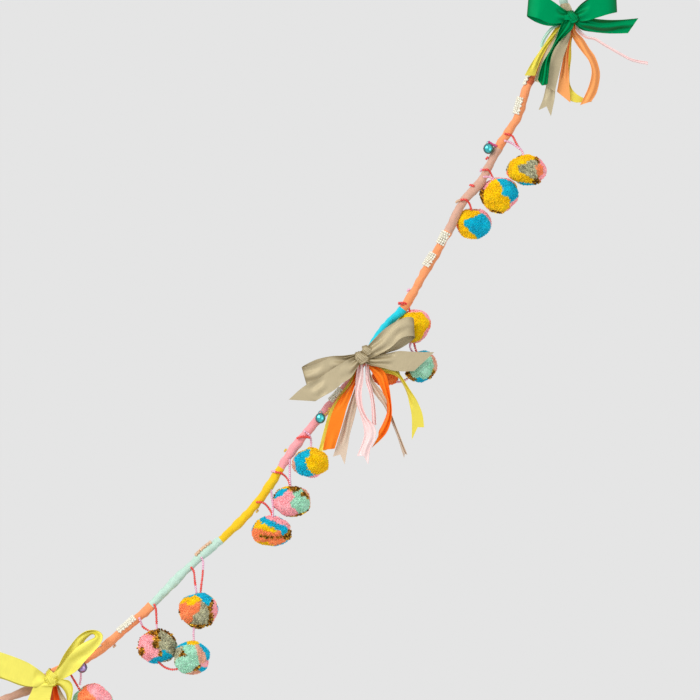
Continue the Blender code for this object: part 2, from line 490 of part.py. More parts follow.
class Rope:
    """The rope's middle line, and the points and widths of its coloured stretches."""

    def __init__(self):
        self.line = smooth_path([place(way.across, way.down) for way in ROPE_ROUTE], 16)
        self.runs = [0.0]
        for index in range(1, len(self.line)):
            self.runs.append(self.runs[-1] + (self.line[index] - self.line[index - 1]).length)
        self.stretches = {stretch.name: self.sections(stretch) for stretch in ROPE_STRETCHES}
        self.spine = [section for sections in self.stretches.values() for section in sections]

    def sections(self, stretch):
        """Return the points and radii along one coloured stretch, just short of its neighbours."""
        start = self.run_at_down(stretch.top) + GAP / 2
        end = self.run_at_down(stretch.bottom) - GAP / 2
        count = max(3, math.ceil((end - start) / ROPE_STEP))
        runs = [start + (end - start) * step / count for step in range(1, count)]
        runs = [start, start + ROPE_END, *runs, end - ROPE_END, end]
        return [(self.at(run), rope_width(run)) for run in runs]

    def at(self, run):
        """Return the point of the line at a length along it."""
        for index in range(1, len(self.runs)):
            if self.runs[index] >= run:
                part = (run - self.runs[index - 1]) / (self.runs[index] - self.runs[index - 1])
                return self.line[index - 1].lerp(self.line[index], part)
        return self.line[-1].copy()

    def run_at_down(self, down):
        """Return the length along the rope where it passes a height in the photograph's frame."""
        height = (HANG_DOWN - down) * PIXEL
        for index in range(1, len(self.line)):
            if self.line[index].z <= height:
                upper = self.line[index - 1].z
                part = (upper - height) / (upper - self.line[index].z)
                return self.runs[index - 1] + part * (self.runs[index] - self.runs[index - 1])
        return self.runs[-1]

    def nearest(self, point):
        """Return the point of the built rope's middle that is nearest to a point, and its radius."""
        best = None
        for (start, thick), (end, thin) in zip(self.spine, self.spine[1:]):
            run = end - start
            part = min(max((point - start).dot(run) / run.length_squared, 0.0), 1.0)
            near = start + run * part
            if best is None or (near - point).length < (best[0] - point).length:
                best = (near, thick + (thin - thick) * part)
        return best

    def clear(self, point, radius):
        """Put a point near the rope where a round piece of that radius there just clears it."""
        near, thick = self.nearest(point)
        away = point - near
        needed = thick + GAP + radius
        if away.length >= needed + HUG:
            return point
        if away.length < 1e-6:
            away = Vector((0.0, -1.0, 0.0))
        return near + away.normalized() * needed

    def wrap(self, points, radius):
        """Return points that keep a round piece clear, with one more where a span would cut in."""
        line = [self.clear(points[0], radius)]
        for point in points[1:]:
            point = self.clear(point, radius)
            middle = line[-1].lerp(point, 0.5)
            moved = self.clear(middle, radius)
            if (moved - middle).length > GAP / 3:
                line.append(moved)
            line.append(point)
        return line


def build_rope(rope):
    """Wind the rope's coloured stretches, each a tube that ends just short of the next."""
    for stretch in ROPE_STRETCHES:
        sections = rope.stretches[stretch.name]
        points = [point for point, _ in sections]
        widths = [radius / ROPE_RADIUS for _, radius in sections]
        obj = add_tube(stretch.name, points, ROPE_RADIUS, widths)
        add_material(obj, stretch.colour, 0.85)


def build_end_loop(name, tip, along, length, colour):
    """Make the loop of cord at one end of the rope, from the rope's end cap outwards."""
    aside = Vector((-along.z, 0.0, along.x))
    points = []
    for step in range(END_LOOP_STEPS + 1):
        angle = math.pi * (step / END_LOOP_STEPS - 0.5)
        reach = GAP + length * math.cos(angle)
        spread = math.sin(angle) * (END_LOOP_HALF + END_LOOP_BULGE * math.cos(angle) ** 2)
        points.append(tip + along * reach + aside * spread)
    obj = add_tube(name, points, CORD_RADIUS)
    add_material(obj, colour, 0.85)


def cloth_rows(rows, width, steps, columns):
    """Return the middle surface of a ribbon as a grid of points: smooth along, pleated across."""
    outer = smooth_path([place(row.outer_across, row.outer_down) for row in rows], steps)
    inner = smooth_path([place(row.inner_across, row.inner_down) for row in rows], steps)
    depths = smooth_path([Vector((row.depth_mm * MM, row.lean, 0.0)) for row in rows], steps)
    grid = []
    for left, right, (depth, lean, _) in zip(outer, inner, depths):
        seen = (right - left).length
        spare = max(width - seen, 0.0)
        chord = seen + abs(lean) * spare
        slope = math.copysign(math.sqrt(max(chord * chord - seen * seen, 0.0)), lean) if lean else 0.0
        pleat = PLEAT_SHARE * math.sqrt(3 * chord * max(width - chord, 0.0) / 32)
        line = []
        for column in range(columns):
            share = column / (columns - 1)
            fold = pleat * (math.sin(2 * math.pi * share) if columns > 3 else math.sin(math.pi * share))
            point = left.lerp(right, share)
            point.y = depth + slope * (share - 0.5) + fold
            line.append(point)
        grid.append(line)
    return grid


def notch_end(grid, notch, at_start):
    """Cut a swallow tail into a ribbon's end, or draw it out to a point if the notch is negative."""
    row, neighbour = (0, 1) if at_start else (-1, -2)
    middle = (len(grid[row]) - 1) / 2
    inward = [near - far for far, near in zip(grid[row], grid[neighbour])]
    for column, step in enumerate(inward):
        share = 1.0 - abs(column - middle) / middle
        grid[row][column] = grid[row][column] + step.normalized() * (notch * MM * share)


def thicken(grid, thickness):
    """Return the points and faces of a closed sheet round a grid of points."""
    rows, columns = len(grid), len(grid[0])
    front, back = [], []
    for row in range(rows):
        for column in range(columns):
            along = grid[min(row + 1, rows - 1)][column] - grid[max(row - 1, 0)][column]
            side = grid[row][min(column + 1, columns - 1)] - grid[row][max(column - 1, 0)]
            normal = along.cross(side).normalized() * (thickness / 2)
            front.append(grid[row][column] + normal)
            back.append(grid[row][column] - normal)
    size = rows * columns
    faces = []
    for row in range(rows - 1):
        for column in range(columns - 1):
            corner = row * columns + column
            ring = (corner, corner + 1, corner + columns + 1, corner + columns)
            faces.append(tuple(reversed(ring)))
            faces.append(tuple(size + item for item in ring))
    rim = list(range(columns))
    rim += [row * columns + columns - 1 for row in range(1, rows)]
    rim += [(rows - 1) * columns + column for column in range(columns - 2, -1, -1)]
    rim += [row * columns for row in range(rows - 2, 0, -1)]
    for index, item in enumerate(rim):
        after = rim[(index + 1) % len(rim)]
        faces.append((item, after, size + after, size + item))
    return front + back, faces


def outward(obj):
    """Turn a closed mesh's faces outwards."""
    work = bmesh.new()
    work.from_mesh(obj.data)
    if work.calc_volume(signed=True) < 0:
        bmesh.ops.reverse_faces(work, faces=work.faces)
    work.to_mesh(obj.data)
    work.free()


def build_ribbon(ribbon):
    """Make one ribbon of a bunch as a thin closed sheet."""
    grid = cloth_rows(ribbon.rows, ribbon.width, ribbon.steps, ribbon.columns)
    if ribbon.notches[0]:
        notch_end(grid, ribbon.notches[0], True)
    if ribbon.notches[1]:
        notch_end(grid, ribbon.notches[1], False)
    obj = add_mesh(ribbon.name, *thicken(grid, RIBBON_THICKNESS))
    outward(obj)
    add_material(obj, ribbon.colour, 0.45)


def add_knot(name, bow):
    """Make the bow's knot: a rounded lump, flatter towards the rope."""
    work = bmesh.new()
    bmesh.ops.create_uvsphere(work, u_segments=12, v_segments=8, radius=1.0)
    centre = place(bow.knot_across, bow.knot_down, bow.knot_depth_mm * MM)
    for vert in work.verts:
        vert.co = vert.co * Vector(KNOT_HALVES) + centre
    mesh = bpy.data.meshes.new(name)
    work.to_mesh(mesh)
    work.free()
    mesh.shade_smooth()
    obj = bpy.data.objects.new(name, mesh)
    bpy.context.collection.objects.link(obj)
    return obj


def add_band(name, bow):
    """Make the band that ties the bow round the rope and the gathered ribbons."""
    turn = math.radians(bow.turn)
    across = Vector((math.cos(turn), 0.0, math.sin(turn)))
    along = Vector((-math.sin(turn), 0.0, math.cos(turn)))
    back = ROPE_RADIUS + ROPE_SWELL + GAP + BAND_HALF_THICK
    middle = place(bow.band_across, bow.band_down, (back + BAND_FRONT) / 2)
    reach = (back - BAND_FRONT) / 2
    points = []
    for step in range(BAND_STEPS):
        angle = 2 * math.pi * step / BAND_STEPS
        wide = math.copysign(abs(math.cos(angle)) ** BAND_SQUARE, math.cos(angle))
        deep = math.copysign(abs(math.sin(angle)) ** BAND_SQUARE, math.sin(angle))
        for outer, upper in ((-1, -1), (1, -1), (1, 1), (-1, 1)):
            grow = outer * BAND_HALF_THICK
            side = across * (wide * (BAND_HALF_ACROSS + grow))
            depth = Vector((0.0, deep * (reach + grow), 0.0))
            points.append(middle + side + depth + along * (upper * BAND_HALF_HIGH))
    faces = []
    for step in range(BAND_STEPS):
        here, there = 4 * step, 4 * ((step + 1) % BAND_STEPS)
        for corner in range(4):
            after = (corner + 1) % 4
            faces.append((here + corner, here + after, there + after, there + corner))
    obj = add_mesh(name, points, faces)
    outward(obj)
    return obj


def join_to(obj, other):
    """Join another closed shape to an object, and hide the shape that was used."""
    union = obj.modifiers.new(other.name, "BOOLEAN")
    union.operation = "UNION"
    union.solver = "EXACT"
    union.object = other
    other.hide_render = True
    other.display_type = "WIRE"


def build_bow(bow):
    """Make one bow: knot, band, two loops and two tails joined into one solid."""
    knot = add_knot(bow.name, bow)
    join_to(knot, add_band(bow.name + "_band", bow))
    for index, strip in enumerate(bow.strips):
        grid = cloth_rows(strip.rows, SATIN_WIDTH, 2, 4)
        if strip.notch:
            notch_end(grid, strip.notch, False)
        sheet = add_mesh(f"{bow.name}_strip_{index}", *thicken(grid, RIBBON_THICKNESS))
        outward(sheet)
        join_to(knot, sheet)
    add_material(knot, bow.colour, 0.35)


def clear_depth(rope, across, down, radius, side):
    """Return the depth at which a ball just clears the rope, in front (side -1) or behind it (1)."""
    point = place(across, down)
    near, thick = rope.nearest(point)
    needed = radius + thick + GAP
    apart = (point - near).length
    return side * math.sqrt(max(needed * needed - apart * apart, 0.0))


def build_pompom(ball, rope):
    """Make one pompom: a small core whose faces are raised as wide locks of trimmed wool."""
    half_wide, half_high = ball.wide_mm * MM / 2, ball.high_mm * MM / 2
    half_deep = (half_wide + half_high) / 2
    if ball.depth_mm is None:
        depth = clear_depth(rope, ball.across, ball.down, half_deep, 1)
    else:
        depth = ball.depth_mm * MM
    centre = place(ball.across, ball.down, depth)
    work = bmesh.new()
    bmesh.ops.create_icosphere(work, subdivisions=1, radius=1.0 - LOCK_HEIGHT)
    roots = list(work.faces)
    bmesh.ops.inset_individual(work, faces=roots, thickness=LOCK_INSET)
    tips = bmesh.ops.extrude_discrete_faces(work, faces=roots)["faces"]
    for number, face in enumerate(tips):
        middle = face.calc_center_median()
        length = 1.0 - LOCK_SPREAD * ((number * 7) % 5) / 4
        for vert in face.verts:
            flared = middle + (vert.co - middle) * LOCK_FLARE
            vert.co = flared.normalized() * length * LOCK_RIM
        crown = bmesh.ops.poke(work, faces=[face])["verts"][0]
        crown.co = crown.co.normalized() * length
    for vert in work.verts:
        vert.co = Vector((vert.co.x * half_wide, vert.co.y * half_deep, vert.co.z * half_high)) + centre
    bmesh.ops.recalc_face_normals(work, faces=work.faces)
    tree = BVHTree.FromBMesh(work)
    mesh = bpy.data.meshes.new(ball.name)
    work.to_mesh(mesh)
    work.free()
    mesh.shade_smooth()
    mesh.set_sharp_from_angle(angle=0.6)
    obj = bpy.data.objects.new(ball.name, mesh)
    bpy.context.collection.objects.link(obj)
    add_material(obj, ball.colour, 0.95)
    return centre, tree


def seat_end(point, centre, tree):
    """Return two points that end a strand square on, just clear of a pompom."""
    towards = (centre - point).normalized()
    aside = towards.cross(Vector((0.0, 1.0, 0.0))).normalized()
    upward = towards.cross(aside)
    outside = centre - towards * SEAT_LOOK
    reach = SEAT_LOOK
    for step in range(2 * SEAT_RAYS + 1):
        angle = 2 * math.pi * step / SEAT_RAYS
        rim = STRAND_RADIUS * (2 - step // SEAT_RAYS) / 2
        start = outside + (aside * math.cos(angle) + upward * math.sin(angle)) * rim
        reach = min(reach, tree.ray_cast(start, towards)[3])
    end = outside + towards * (reach - SEAT)
    return end - towards * STRAND_LEAD, end


def build_strand(strand, rope, balls):
    """Make one strand of beads as a thin tube from the rope or a pompom to a pompom."""
    route = [place(bead.across, bead.down, bead.depth_mm * MM) for bead in strand.route]
    before, end = seat_end(route[-1], *balls[strand.end_ball])
    if strand.start_ball:
        after, start = seat_end(route[0], *balls[strand.start_ball])
        points = [start] + smooth_path([after, *route[1:-1], before], 2) + [end]
    else:
        points = smooth_path([*route, before], 3) + [end]
        points = rope.wrap(points[:-2], STRAND_RADIUS) + points[-2:]
    obj = add_tube(strand.name, points, STRAND_RADIUS)
    add_material(obj, strand.colour, 0.3)


def build_bell(bell, rope):
    """Make one small bell: a ball with a raised seam, just in front of the rope."""
    depth = clear_depth(rope, bell.across, bell.down, BELL_RADIUS, -1)
    centre = place(bell.across, bell.down, depth)
    points = [centre + Vector((0.0, 0.0, -BELL_RADIUS))]
    for ring in BELL_RINGS:
        for step in range(BELL_SIDES):
            angle = 2 * math.pi * step / BELL_SIDES
            offset = Vector((ring.girth * math.cos(angle), ring.girth * math.sin(angle), ring.height))
            points.append(centre + offset * BELL_RADIUS)
    points.append(centre + Vector((0.0, 0.0, BELL_RADIUS)))
    top = len(points) - 1
    faces = []
    for step in range(BELL_SIDES):
        after = (step + 1) % BELL_SIDES
        faces.append((0, 1 + after, 1 + step))
        faces.append((top, top - BELL_SIDES + step, top - BELL_SIDES + after))
        for low in range(1, top - BELL_SIDES, BELL_SIDES):
            high = low + BELL_SIDES
            faces.append((low + step, low + after, high + after, high + step))
    obj = add_mesh(bell.name, points, faces)
    outward(obj)
    add_material(obj, bell.colour, 0.2, 0.9)


def main():
    """Build the whole garland."""
    for obj in list(bpy.data.objects):
        bpy.data.objects.remove(obj, do_unlink=True)
    rope = Rope()
    build_rope(rope)
    top, lower = rope.line[0], rope.line[-1]
    build_end_loop("end_loop_top", top, (-top).normalized(), top.length - CORD_RADIUS - GAP, CREAM)
    build_end_loop("end_loop_lower", lower, (lower - rope.line[-8]).normalized(), LOWER_LOOP_LENGTH, CREAM)
    for ribbon in RIBBONS:
        build_ribbon(ribbon)
    for bow in BOWS:
        build_bow(bow)
    balls = {ball.name: build_pompom(ball, rope) for ball in BALLS}
    for strand in STRANDS:
        build_strand(strand, rope, balls)
    for bell in BELLS:
        build_bell(bell, rope)


main()
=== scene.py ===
"""Looks of a ribbon garland: a wound rope with satin bows, ribbons, wool pompoms, beads and bells.

The garland hangs in the plane of X (right) and Z (up), and -Y points to the viewer. The origin is
the top of the loop that it hangs from. Places across and down the garland are read in a frame of
700 units each way, and PIXEL turns them into metres. Everything else is a real size.
"""

import logging
import math
import random
from bisect import bisect_left
from dataclasses import dataclass, field
from enum import Enum
from typing import NamedTuple

import bmesh
import bpy
import numpy as np
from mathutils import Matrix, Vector, noise


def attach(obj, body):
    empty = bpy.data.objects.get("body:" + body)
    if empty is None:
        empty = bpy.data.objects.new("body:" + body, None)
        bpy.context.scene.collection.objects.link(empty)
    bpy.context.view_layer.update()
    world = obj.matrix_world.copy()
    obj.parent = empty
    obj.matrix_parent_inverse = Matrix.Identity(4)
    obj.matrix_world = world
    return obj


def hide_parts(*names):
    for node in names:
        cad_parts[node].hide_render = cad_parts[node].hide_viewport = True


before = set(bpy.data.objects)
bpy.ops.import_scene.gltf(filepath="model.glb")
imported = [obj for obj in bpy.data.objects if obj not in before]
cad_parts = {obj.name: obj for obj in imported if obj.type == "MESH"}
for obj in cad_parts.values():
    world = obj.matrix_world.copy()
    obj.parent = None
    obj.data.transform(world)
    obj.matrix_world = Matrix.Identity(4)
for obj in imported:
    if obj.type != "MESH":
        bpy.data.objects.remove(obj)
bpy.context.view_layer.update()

LOG = logging.getLogger("garland")

PIXEL = 0.00128
HANG_ACROSS = 569.0
HANG_DOWN = -48.0
MM = 0.001
GAP = 0.0003
ROPE_RADIUS = 0.0057
ROPE_SWELL = 0.0004
ROPE_SWELL_RUN = 0.0093
TANGENT_REACH = 0.002
ROPE_STEPS = 16
TUBE_SHARP = 1.6

Colour = tuple[float, float, float, float]


class Row(NamedTuple):
    """One place along a ribbon: its two edges as they are seen, its depth and its lean."""

    outer_across: float
    outer_down: float
    inner_across: float
    inner_down: float
    depth_mm: float
    lean: float = 0.0


class Yarn(Enum):
    """The yarns that the rope is wound with, and the record's name for each finish."""

    MINT = "yarn_mint"
    PEACH = "yarn_peach"
    TAN = "yarn_tan"
    TURQUOISE = "yarn_turquoise"
    PINK = "yarn_pink"
    MUSTARD = "yarn_mustard"
    # Painted shade: a darker reddish peach for a short stretch of the rope that lies in shade.
    RUST = "yarn_rust"


class Satin(Enum):
    """The satin ribbons, and the record's name for each finish."""

    GREEN = "satin_green"
    TAUPE = "satin_taupe"
    LEMON = "satin_lemon"
    YELLOW = "satin_yellow"
    ORANGE = "satin_orange"
    ROSE_TAUPE = "satin_rose_taupe"
    PALE_PINK = "satin_pale_pink"
    MINT = "satin_mint"


class Wool(Enum):
    """The wools of the pompoms."""

    MUSTARD = (250, 210, 0)
    TURQUOISE = (0, 194, 222)
    PINK = (255, 186, 192)
    MINT = (182, 232, 206)
    ORANGE = (254, 156, 98)
    OLIVE = (186, 184, 152)
    TAN = (236, 184, 158)
    DEEP_ORANGE = (250, 132, 58)
    GOLD = (196, 142, 44)


class Glass(Enum):
    """The colours of the seed beads."""

    CORAL = (244, 66, 58)
    PINK = (255, 186, 212)
    CREAM = (242, 234, 216)
    AMBER = (236, 196, 70)
    SAND = (226, 186, 150)
    MAGENTA = (205, 50, 120)


class Lacquer(Enum):
    """The lacquers of the bells, and the record's name for each finish."""

    TURQUOISE = "bell_turquoise"
    LILAC = "bell_lilac"


COLOURS = {
    Yarn.MINT: (193, 223, 207), Yarn.PEACH: (255, 160, 106), Yarn.TAN: (216, 170, 148),
    Yarn.TURQUOISE: (34, 208, 226), Yarn.PINK: (255, 166, 170), Yarn.MUSTARD: (244, 200, 28),
    # Painted shade: the darker reddish peach of the shaded stretch.
    Yarn.RUST: (205, 100, 60),
    Satin.GREEN: (0, 142, 84), Satin.TAUPE: (188, 174, 142), Satin.LEMON: (240, 230, 104),
    Satin.YELLOW: (230, 214, 86), Satin.ORANGE: (250, 132, 40), Satin.ROSE_TAUPE: (218, 196, 174),
    Satin.PALE_PINK: (255, 224, 222), Satin.MINT: (190, 224, 206),
    Lacquer.TURQUOISE: (70, 214, 230), Lacquer.LILAC: (190, 160, 240),
}


class Stretch(NamedTuple):
    """A stretch of the rope that is wound in one colour, between two heights."""

    top: float
    bottom: float
    yarn: Yarn


class Band(NamedTuple):
    """A patch of beads sewn round the rope: heights, the angles it spans and the colour."""

    name: str
    top: float
    bottom: float
    start_degrees: float
    end_degrees: float
    glass: Glass = Glass.CREAM


class Edge(NamedTuple):
    """A few beads sewn on the rope's side: where, at which angle, and how many."""

    name: str
    across: float
    down: float
    glass: Glass
    count: int
    degrees: float = 80.0
    slant: float = 1.0


class BeadRun(NamedTuple):
    """A thread of beads, the solid it stands for, the pompom it ends in and the places it passes.

    A place has two units of the frame and a depth in millimetres.
    """

    name: str
    node: str | None
    glass: Glass
    ball: str | None
    route: tuple[tuple[float, float, float], ...]
    second: Glass | None = None
    share: float = 1.0


# One wool and the places that it lies at, as shares of a pompom's half width and half height.
Zone = tuple[Wool | tuple[float, float], ...]


class Ball(NamedTuple):
    """A pompom: its place, its width and height, its depth and its colours."""

    name: str
    across: float
    down: float
    wide_mm: float
    high_mm: float
    depth_mm: float | None
    slot: str
    zones: tuple[Zone, ...]


class RibbonCut(NamedTuple):
    """A ribbon of a bunch: its solid, its rows, its width and how its two ends are cut."""

    name: str
    rows: tuple[Row, ...]
    width: float
    notches: tuple[float, float]
    satin: Satin
    # Its own colour where it differs from its satin, or painted light or shade: a paler copy where the
    # ribbon is lit, a deeper one where it lies in shade.
    tint: tuple[int, int, int] | None = None


class Strip(NamedTuple):
    """One loop or tail of a bow."""

    rows: tuple[Row, ...]
    notch: float


class Fold(NamedTuple):
    """One fold of ribbon over a knot: its direction, place, lift off the core and width."""

    turn_degrees: float
    offset: float
    lift: float
    width: float
    pleats: float


class BowCut(NamedTuple):
    """A bow: knot, the band that ties it, its finish and its loops and tails."""

    name: str
    knot: tuple[float, float, float]
    band: tuple[float, float]
    turn: float
    crease_turn: float
    satin: Satin
    strips: tuple[Strip, ...]
    waves: float = 1.6
    second_knot: tuple[float, float, float] | None = None


# The rope's middle line, in units of the frame, from its top end.
ROPE_ROUTE = (
    (566, -30), (563.6, -14), (563.5, 0), (566, 18), (562, 32), (552, 48), (541, 64), (531, 80),
    (524, 95), (518, 116), (511, 128), (502, 142), (491, 162), (480, 183), (463, 202), (450, 228),
    (439, 248), (426, 270), (413, 293), (400.5, 312), (386, 326), (366, 357), (348, 384), (331, 404.5),
    (311, 427.5), (294, 448), (279, 471), (264, 494), (244, 518), (223, 538), (202, 555.5), (172, 584),
    (147, 610), (124, 630), (100, 650), (76, 664), (52, 673), (30, 689), (0, 701), (-16, 708), (-32, 716),
)

ROPE_STRETCHES = (
    # From 77 to 84 the rope is wound in a darker reddish peach: painted shade where it lies in shade beside
    # the first bead band.
    Stretch(-30, 12, Yarn.MINT), Stretch(12, 77, Yarn.PEACH), Stretch(77, 84, Yarn.RUST),
    Stretch(84, 148, Yarn.PEACH), Stretch(148, 231.5, Yarn.TAN), Stretch(231.5, 308.7, Yarn.PEACH),
    Stretch(308.7, 355, Yarn.TURQUOISE), Stretch(355, 467.5, Yarn.PINK),
    Stretch(467.5, 539.7, Yarn.MUSTARD), Stretch(539.7, 605.3, Yarn.MINT),
    Stretch(605.3, 673, Yarn.PEACH), Stretch(673, 717, Yarn.TAN),
)

BANDS = (
    Band("bead_band_1", 75, 86, 45, 160), Band("bead_band_2", 99, 114, 5, 140),
    Band("bead_band_3", 233.5, 244, -25, 168), Band("bead_band_4", 255, 266.5, -5, 160),
    Band("bead_band_5", 391, 402, 10, 160), Band("bead_band_6", 546, 558, 55, 120, Glass.SAND),
    Band("bead_band_7", 620, 633, 10, 150), Band("bead_band_8", 648, 660, 45, 150),
)

# Ribbons folded over at a knot: the rows run up the left tail, over the fold and down the right tail.
GREEN_YELLOW = (
    Row(524.3, 75.9, 534.9, 75.9, -9.5), Row(531.7, 62.9, 539.5, 62.9, -9.8),
    Row(542.8, 46.3, 548.5, 45.5, -9.8), Row(554.8, 29, 558.5, 33, -8.8), Row(563.5, 17.5, 567, 19, -7.8),
    Row(569, 10.5, 569, 15, -7.8), Row(574.5, 18, 571, 20, -7.8), Row(573, 32, 567, 33, -8),
    Row(571.2, 43, 563.5, 44, -8.3), Row(571, 57, 564, 58, -8.5), Row(569.3, 71, 563, 73, -8.8),
    Row(569.8, 85, 563, 88, -9), Row(576.5, 94.5, 568, 99.5, -9.5), Row(591.8, 102.2, 576, 103, -9.8),
)
GREEN_ORANGE = (
    Row(556.6, 92, 570, 103, -12.2), Row(559.8, 74, 568.5, 77, -12.4), Row(563.1, 58, 568, 60, -12.6, 0.1),
    Row(566, 45, 569, 46, -12.4, 0.1), Row(567.3, 31, 571, 32, -12), Row(566.5, 18, 569.5, 20, -11.4),
    Row(570.5, 11, 570.5, 15.5, -11.4), Row(575.5, 19, 572, 21, -11.4), Row(575, 30, 571.4, 34.5, -12.2),
    Row(582.5, 38.9, 575.1, 43.5, -15, -0.4), Row(589, 49, 581.6, 52.7, -17, -0.7),
    Row(594.8, 57.4, 588, 61.1, -18, -0.7), Row(599, 70, 591, 70.3, -17, -0.6),
    Row(599.3, 80, 590.4, 79, -16, -0.5), Row(596.3, 93, 587, 90.5, -14, -0.3),
    Row(590.9, 101.8, 579.8, 105.5, -13),
)
GREEN_TAUPE = (
    Row(538.1, 110.5, 550.6, 116.6, -14.2), Row(542.8, 99, 554, 100, -14.6), Row(546, 86, 555, 89, -15.2),
    Row(551, 68, 558.5, 69, -16), Row(557, 50, 564, 51, -16), Row(562, 34, 568, 36, -15),
    Row(563.5, 20, 570.5, 21, -13.5), Row(560.2, 9.6, 571.6, 11, -13.2), Row(561.2, 4.4, 568.4, 4, -14.4),
    Row(559.6, 9, 571.6, 10.4, -15.6), Row(564.5, 20, 571, 21, -15.3), Row(563.5, 33, 570.3, 34, -17.8),
    Row(556.5, 43, 567.2, 45, -19.6), Row(549.5, 57, 562.2, 60.1, -20), Row(546, 71, 559.6, 70, -19.5),
    Row(544.5, 85.5, 554.3, 92.5, -18.5),
)
GREEN_SHADOW_TAUPE = (
    Row(534, 81.4, 541.5, 84, -12.8), Row(537.2, 72, 545, 74, -12.9), Row(543.4, 56.4, 551, 60, -12.9),
    Row(551.5, 42.5, 558, 46, -12.4), Row(558.8, 29.6, 563.5, 32.5, -11), Row(563, 19, 566.5, 20.5, -9.6),
    Row(564.5, 12.5, 567.5, 13, -9.6),
)
GREEN_PINK = (
    Row(573.5, 12.5, 570.5, 12.5, -9.2), Row(575, 21.5, 571.8, 22, -9.2),
    Row(579.5, 29.5, 577, 32, -10.5, 0.2), Row(586.5, 36.5, 585, 38.5, -11.5, 0.4),
    Row(595, 38.5, 594, 40.5, -12, 0.4), Row(604, 44, 602.9, 46, -12, 0.4),
    Row(617.8, 52, 616.8, 54, -12, 0.4), Row(631.4, 59, 630.6, 61.3, -11, 0.3),
    Row(647.6, 62.2, 647.3, 65.3, -10),
)
GREEN_MINT = (
    Row(560.4, 14, 562, 14.5, -11.2), Row(560.2, 20.5, 561.8, 21.8, -11.2),
    Row(556.5, 24.5, 558.3, 26.5, -10.4), Row(550.5, 28, 552, 30.5, -10.4), Row(546, 33, 548, 35.5, -9),
    Row(542, 39.5, 544.5, 41.5, -8.5), Row(539.5, 47, 542.5, 48, -8),
)
TAUPE_YELLOW = (
    Row(318.5, 451, 326.5, 450, -14), Row(321.3, 440, 331, 440, -14), Row(325.5, 424, 335, 426, -14),
    Row(329.5, 411, 338.5, 414, -13.5), Row(335.5, 401, 344, 405, -12.8), Row(343, 390.5, 350, 394, -11),
    Row(351.5, 378, 356, 381, -9), Row(356.5, 366, 360, 367, -7.9), Row(361, 351, 361, 355.5, -7.9),
    Row(367.5, 361.5, 364.5, 364.5, -7.9), Row(375, 366, 372.5, 369.5, -7.9),
    Row(385, 368, 383.5, 372.5, -8), Row(395.5, 370.5, 393, 374.5, -9),
    Row(401.8, 377, 399.8, 379.5, -10, 0.2), Row(409.5, 389.3, 406.1, 391, -11, 0.4),
    Row(417.3, 401.6, 409.6, 405, -11, 0.2), Row(422.3, 413.8, 411.7, 418.3, -11),
    Row(424, 427.2, 411.7, 439.5, -11),
)
TAUPE_ORANGE = (
    Row(323, 449.6, 334.7, 448.4, -18), Row(328, 426.1, 342.5, 423.5, -19),
    Row(333.6, 409.4, 347, 407.1, -19), Row(341.4, 396, 351.4, 395.5, -18),
    Row(349.2, 386.5, 355, 385, -16), Row(354, 377.5, 358, 378.5, -14), Row(357, 367, 360.5, 368, -11.9),
    Row(362, 351, 362, 355.5, -11.7), Row(368, 362, 364.8, 365, -11.9), Row(375, 365.5, 370.5, 370, -14),
    Row(384.5, 372, 376.5, 379, -16.5), Row(388.3, 384, 381.6, 389.5, -18, 0.1),
    Row(390.5, 398, 386, 400.5, -18.5, 0.15), Row(391.6, 411.6, 387.1, 411, -18.5, 0.15),
    Row(389.9, 424, 383.8, 421, -17.5, 0.1), Row(384.5, 435, 380.5, 427.5, -16.5),
    Row(371.5, 447.9, 378.8, 431, -16),
)
TAUPE_TAUPE = (
    Row(333, 456.5, 344.7, 464, -12.6), Row(337, 444, 347.5, 448.4, -12.6),
    Row(341.5, 430, 350, 433.5, -12.4), Row(345.5, 416, 354.5, 416.5, -12.2),
    Row(350, 402, 357.3, 402.7, -12.2), Row(354, 391, 358.5, 390.5, -12.2),
    Row(357.3, 379, 360.8, 379.5, -11.4), Row(358.8, 367.5, 361.8, 368.5, -9.9),
    Row(362.8, 351, 362.8, 355.5, -9.8), Row(368, 362.5, 365, 365, -9.8),
    Row(370.5, 373.5, 366.5, 375, -11.2), Row(375, 383, 369.5, 385.5, -12.4),
    Row(383.6, 393.8, 376, 396, -13.2), Row(388, 405, 383.8, 406, -13.4, 0.2),
    Row(393, 418.3, 390.8, 420.5, -13.4, 0.3), Row(399.3, 434.5, 397.2, 436, -13.4, 0.3),
    Row(407.2, 454.6, 403.9, 457.5, -13.4, 0.2),
)
TAUPE_PINK = (
    Row(357, 455.7, 368.2, 464.1, -20.5), Row(361, 446, 370, 449, -21), Row(364.2, 435, 375, 438.5, -21.5),
    Row(363.3, 425, 374.8, 427, -22), Row(360, 413.8, 367, 417, -22), Row(356.8, 404, 362.6, 405.5, -21.5),
    Row(355.3, 392.6, 361.6, 392, -21), Row(355.9, 378.5, 363.3, 379, -19),
    Row(357.5, 368, 363.3, 369.5, -16), Row(358.8, 361, 362.5, 362, -13.8),
    Row(363.5, 351, 363.5, 355, -13.8), Row(368, 361, 365, 363.5, -13.8),
    Row(368.8, 371, 365.6, 372.5, -15.6), Row(369.3, 380, 366, 382, -17.5),
    Row(372, 389, 368.8, 391.3, -18.5), Row(374.2, 400, 371, 402, -18.5),
    Row(375.6, 412, 371.7, 413.5, -18.5), Row(376.2, 425, 372.2, 424, -18.2),
)
LEMON_ORANGE = (
    Row(50.5, 670.5, 54.5, 671.5, -9.6), Row(51.5, 681, 56.5, 682, -10), Row(51.5, 691, 58.5, 692, -11.5),
    Row(50, 702, 60, 703, -12.5), Row(45.5, 718, 58, 721, -13), Row(42, 742, 55.5, 745, -13),
    Row(38.5, 768, 53, 775, -13),
)
LEMON_TAUPE = (
    Row(52.5, 670.5, 56, 671.5, -7.9), Row(53.5, 680.5, 57.5, 681.5, -8), Row(55.5, 690, 62, 691.5, -8.5),
    Row(58.5, 702, 68, 702.5, -9), Row(60.5, 718, 71.5, 719, -9.5), Row(62, 738, 74, 740, -10),
    Row(63.5, 762, 76, 768, -10),
)

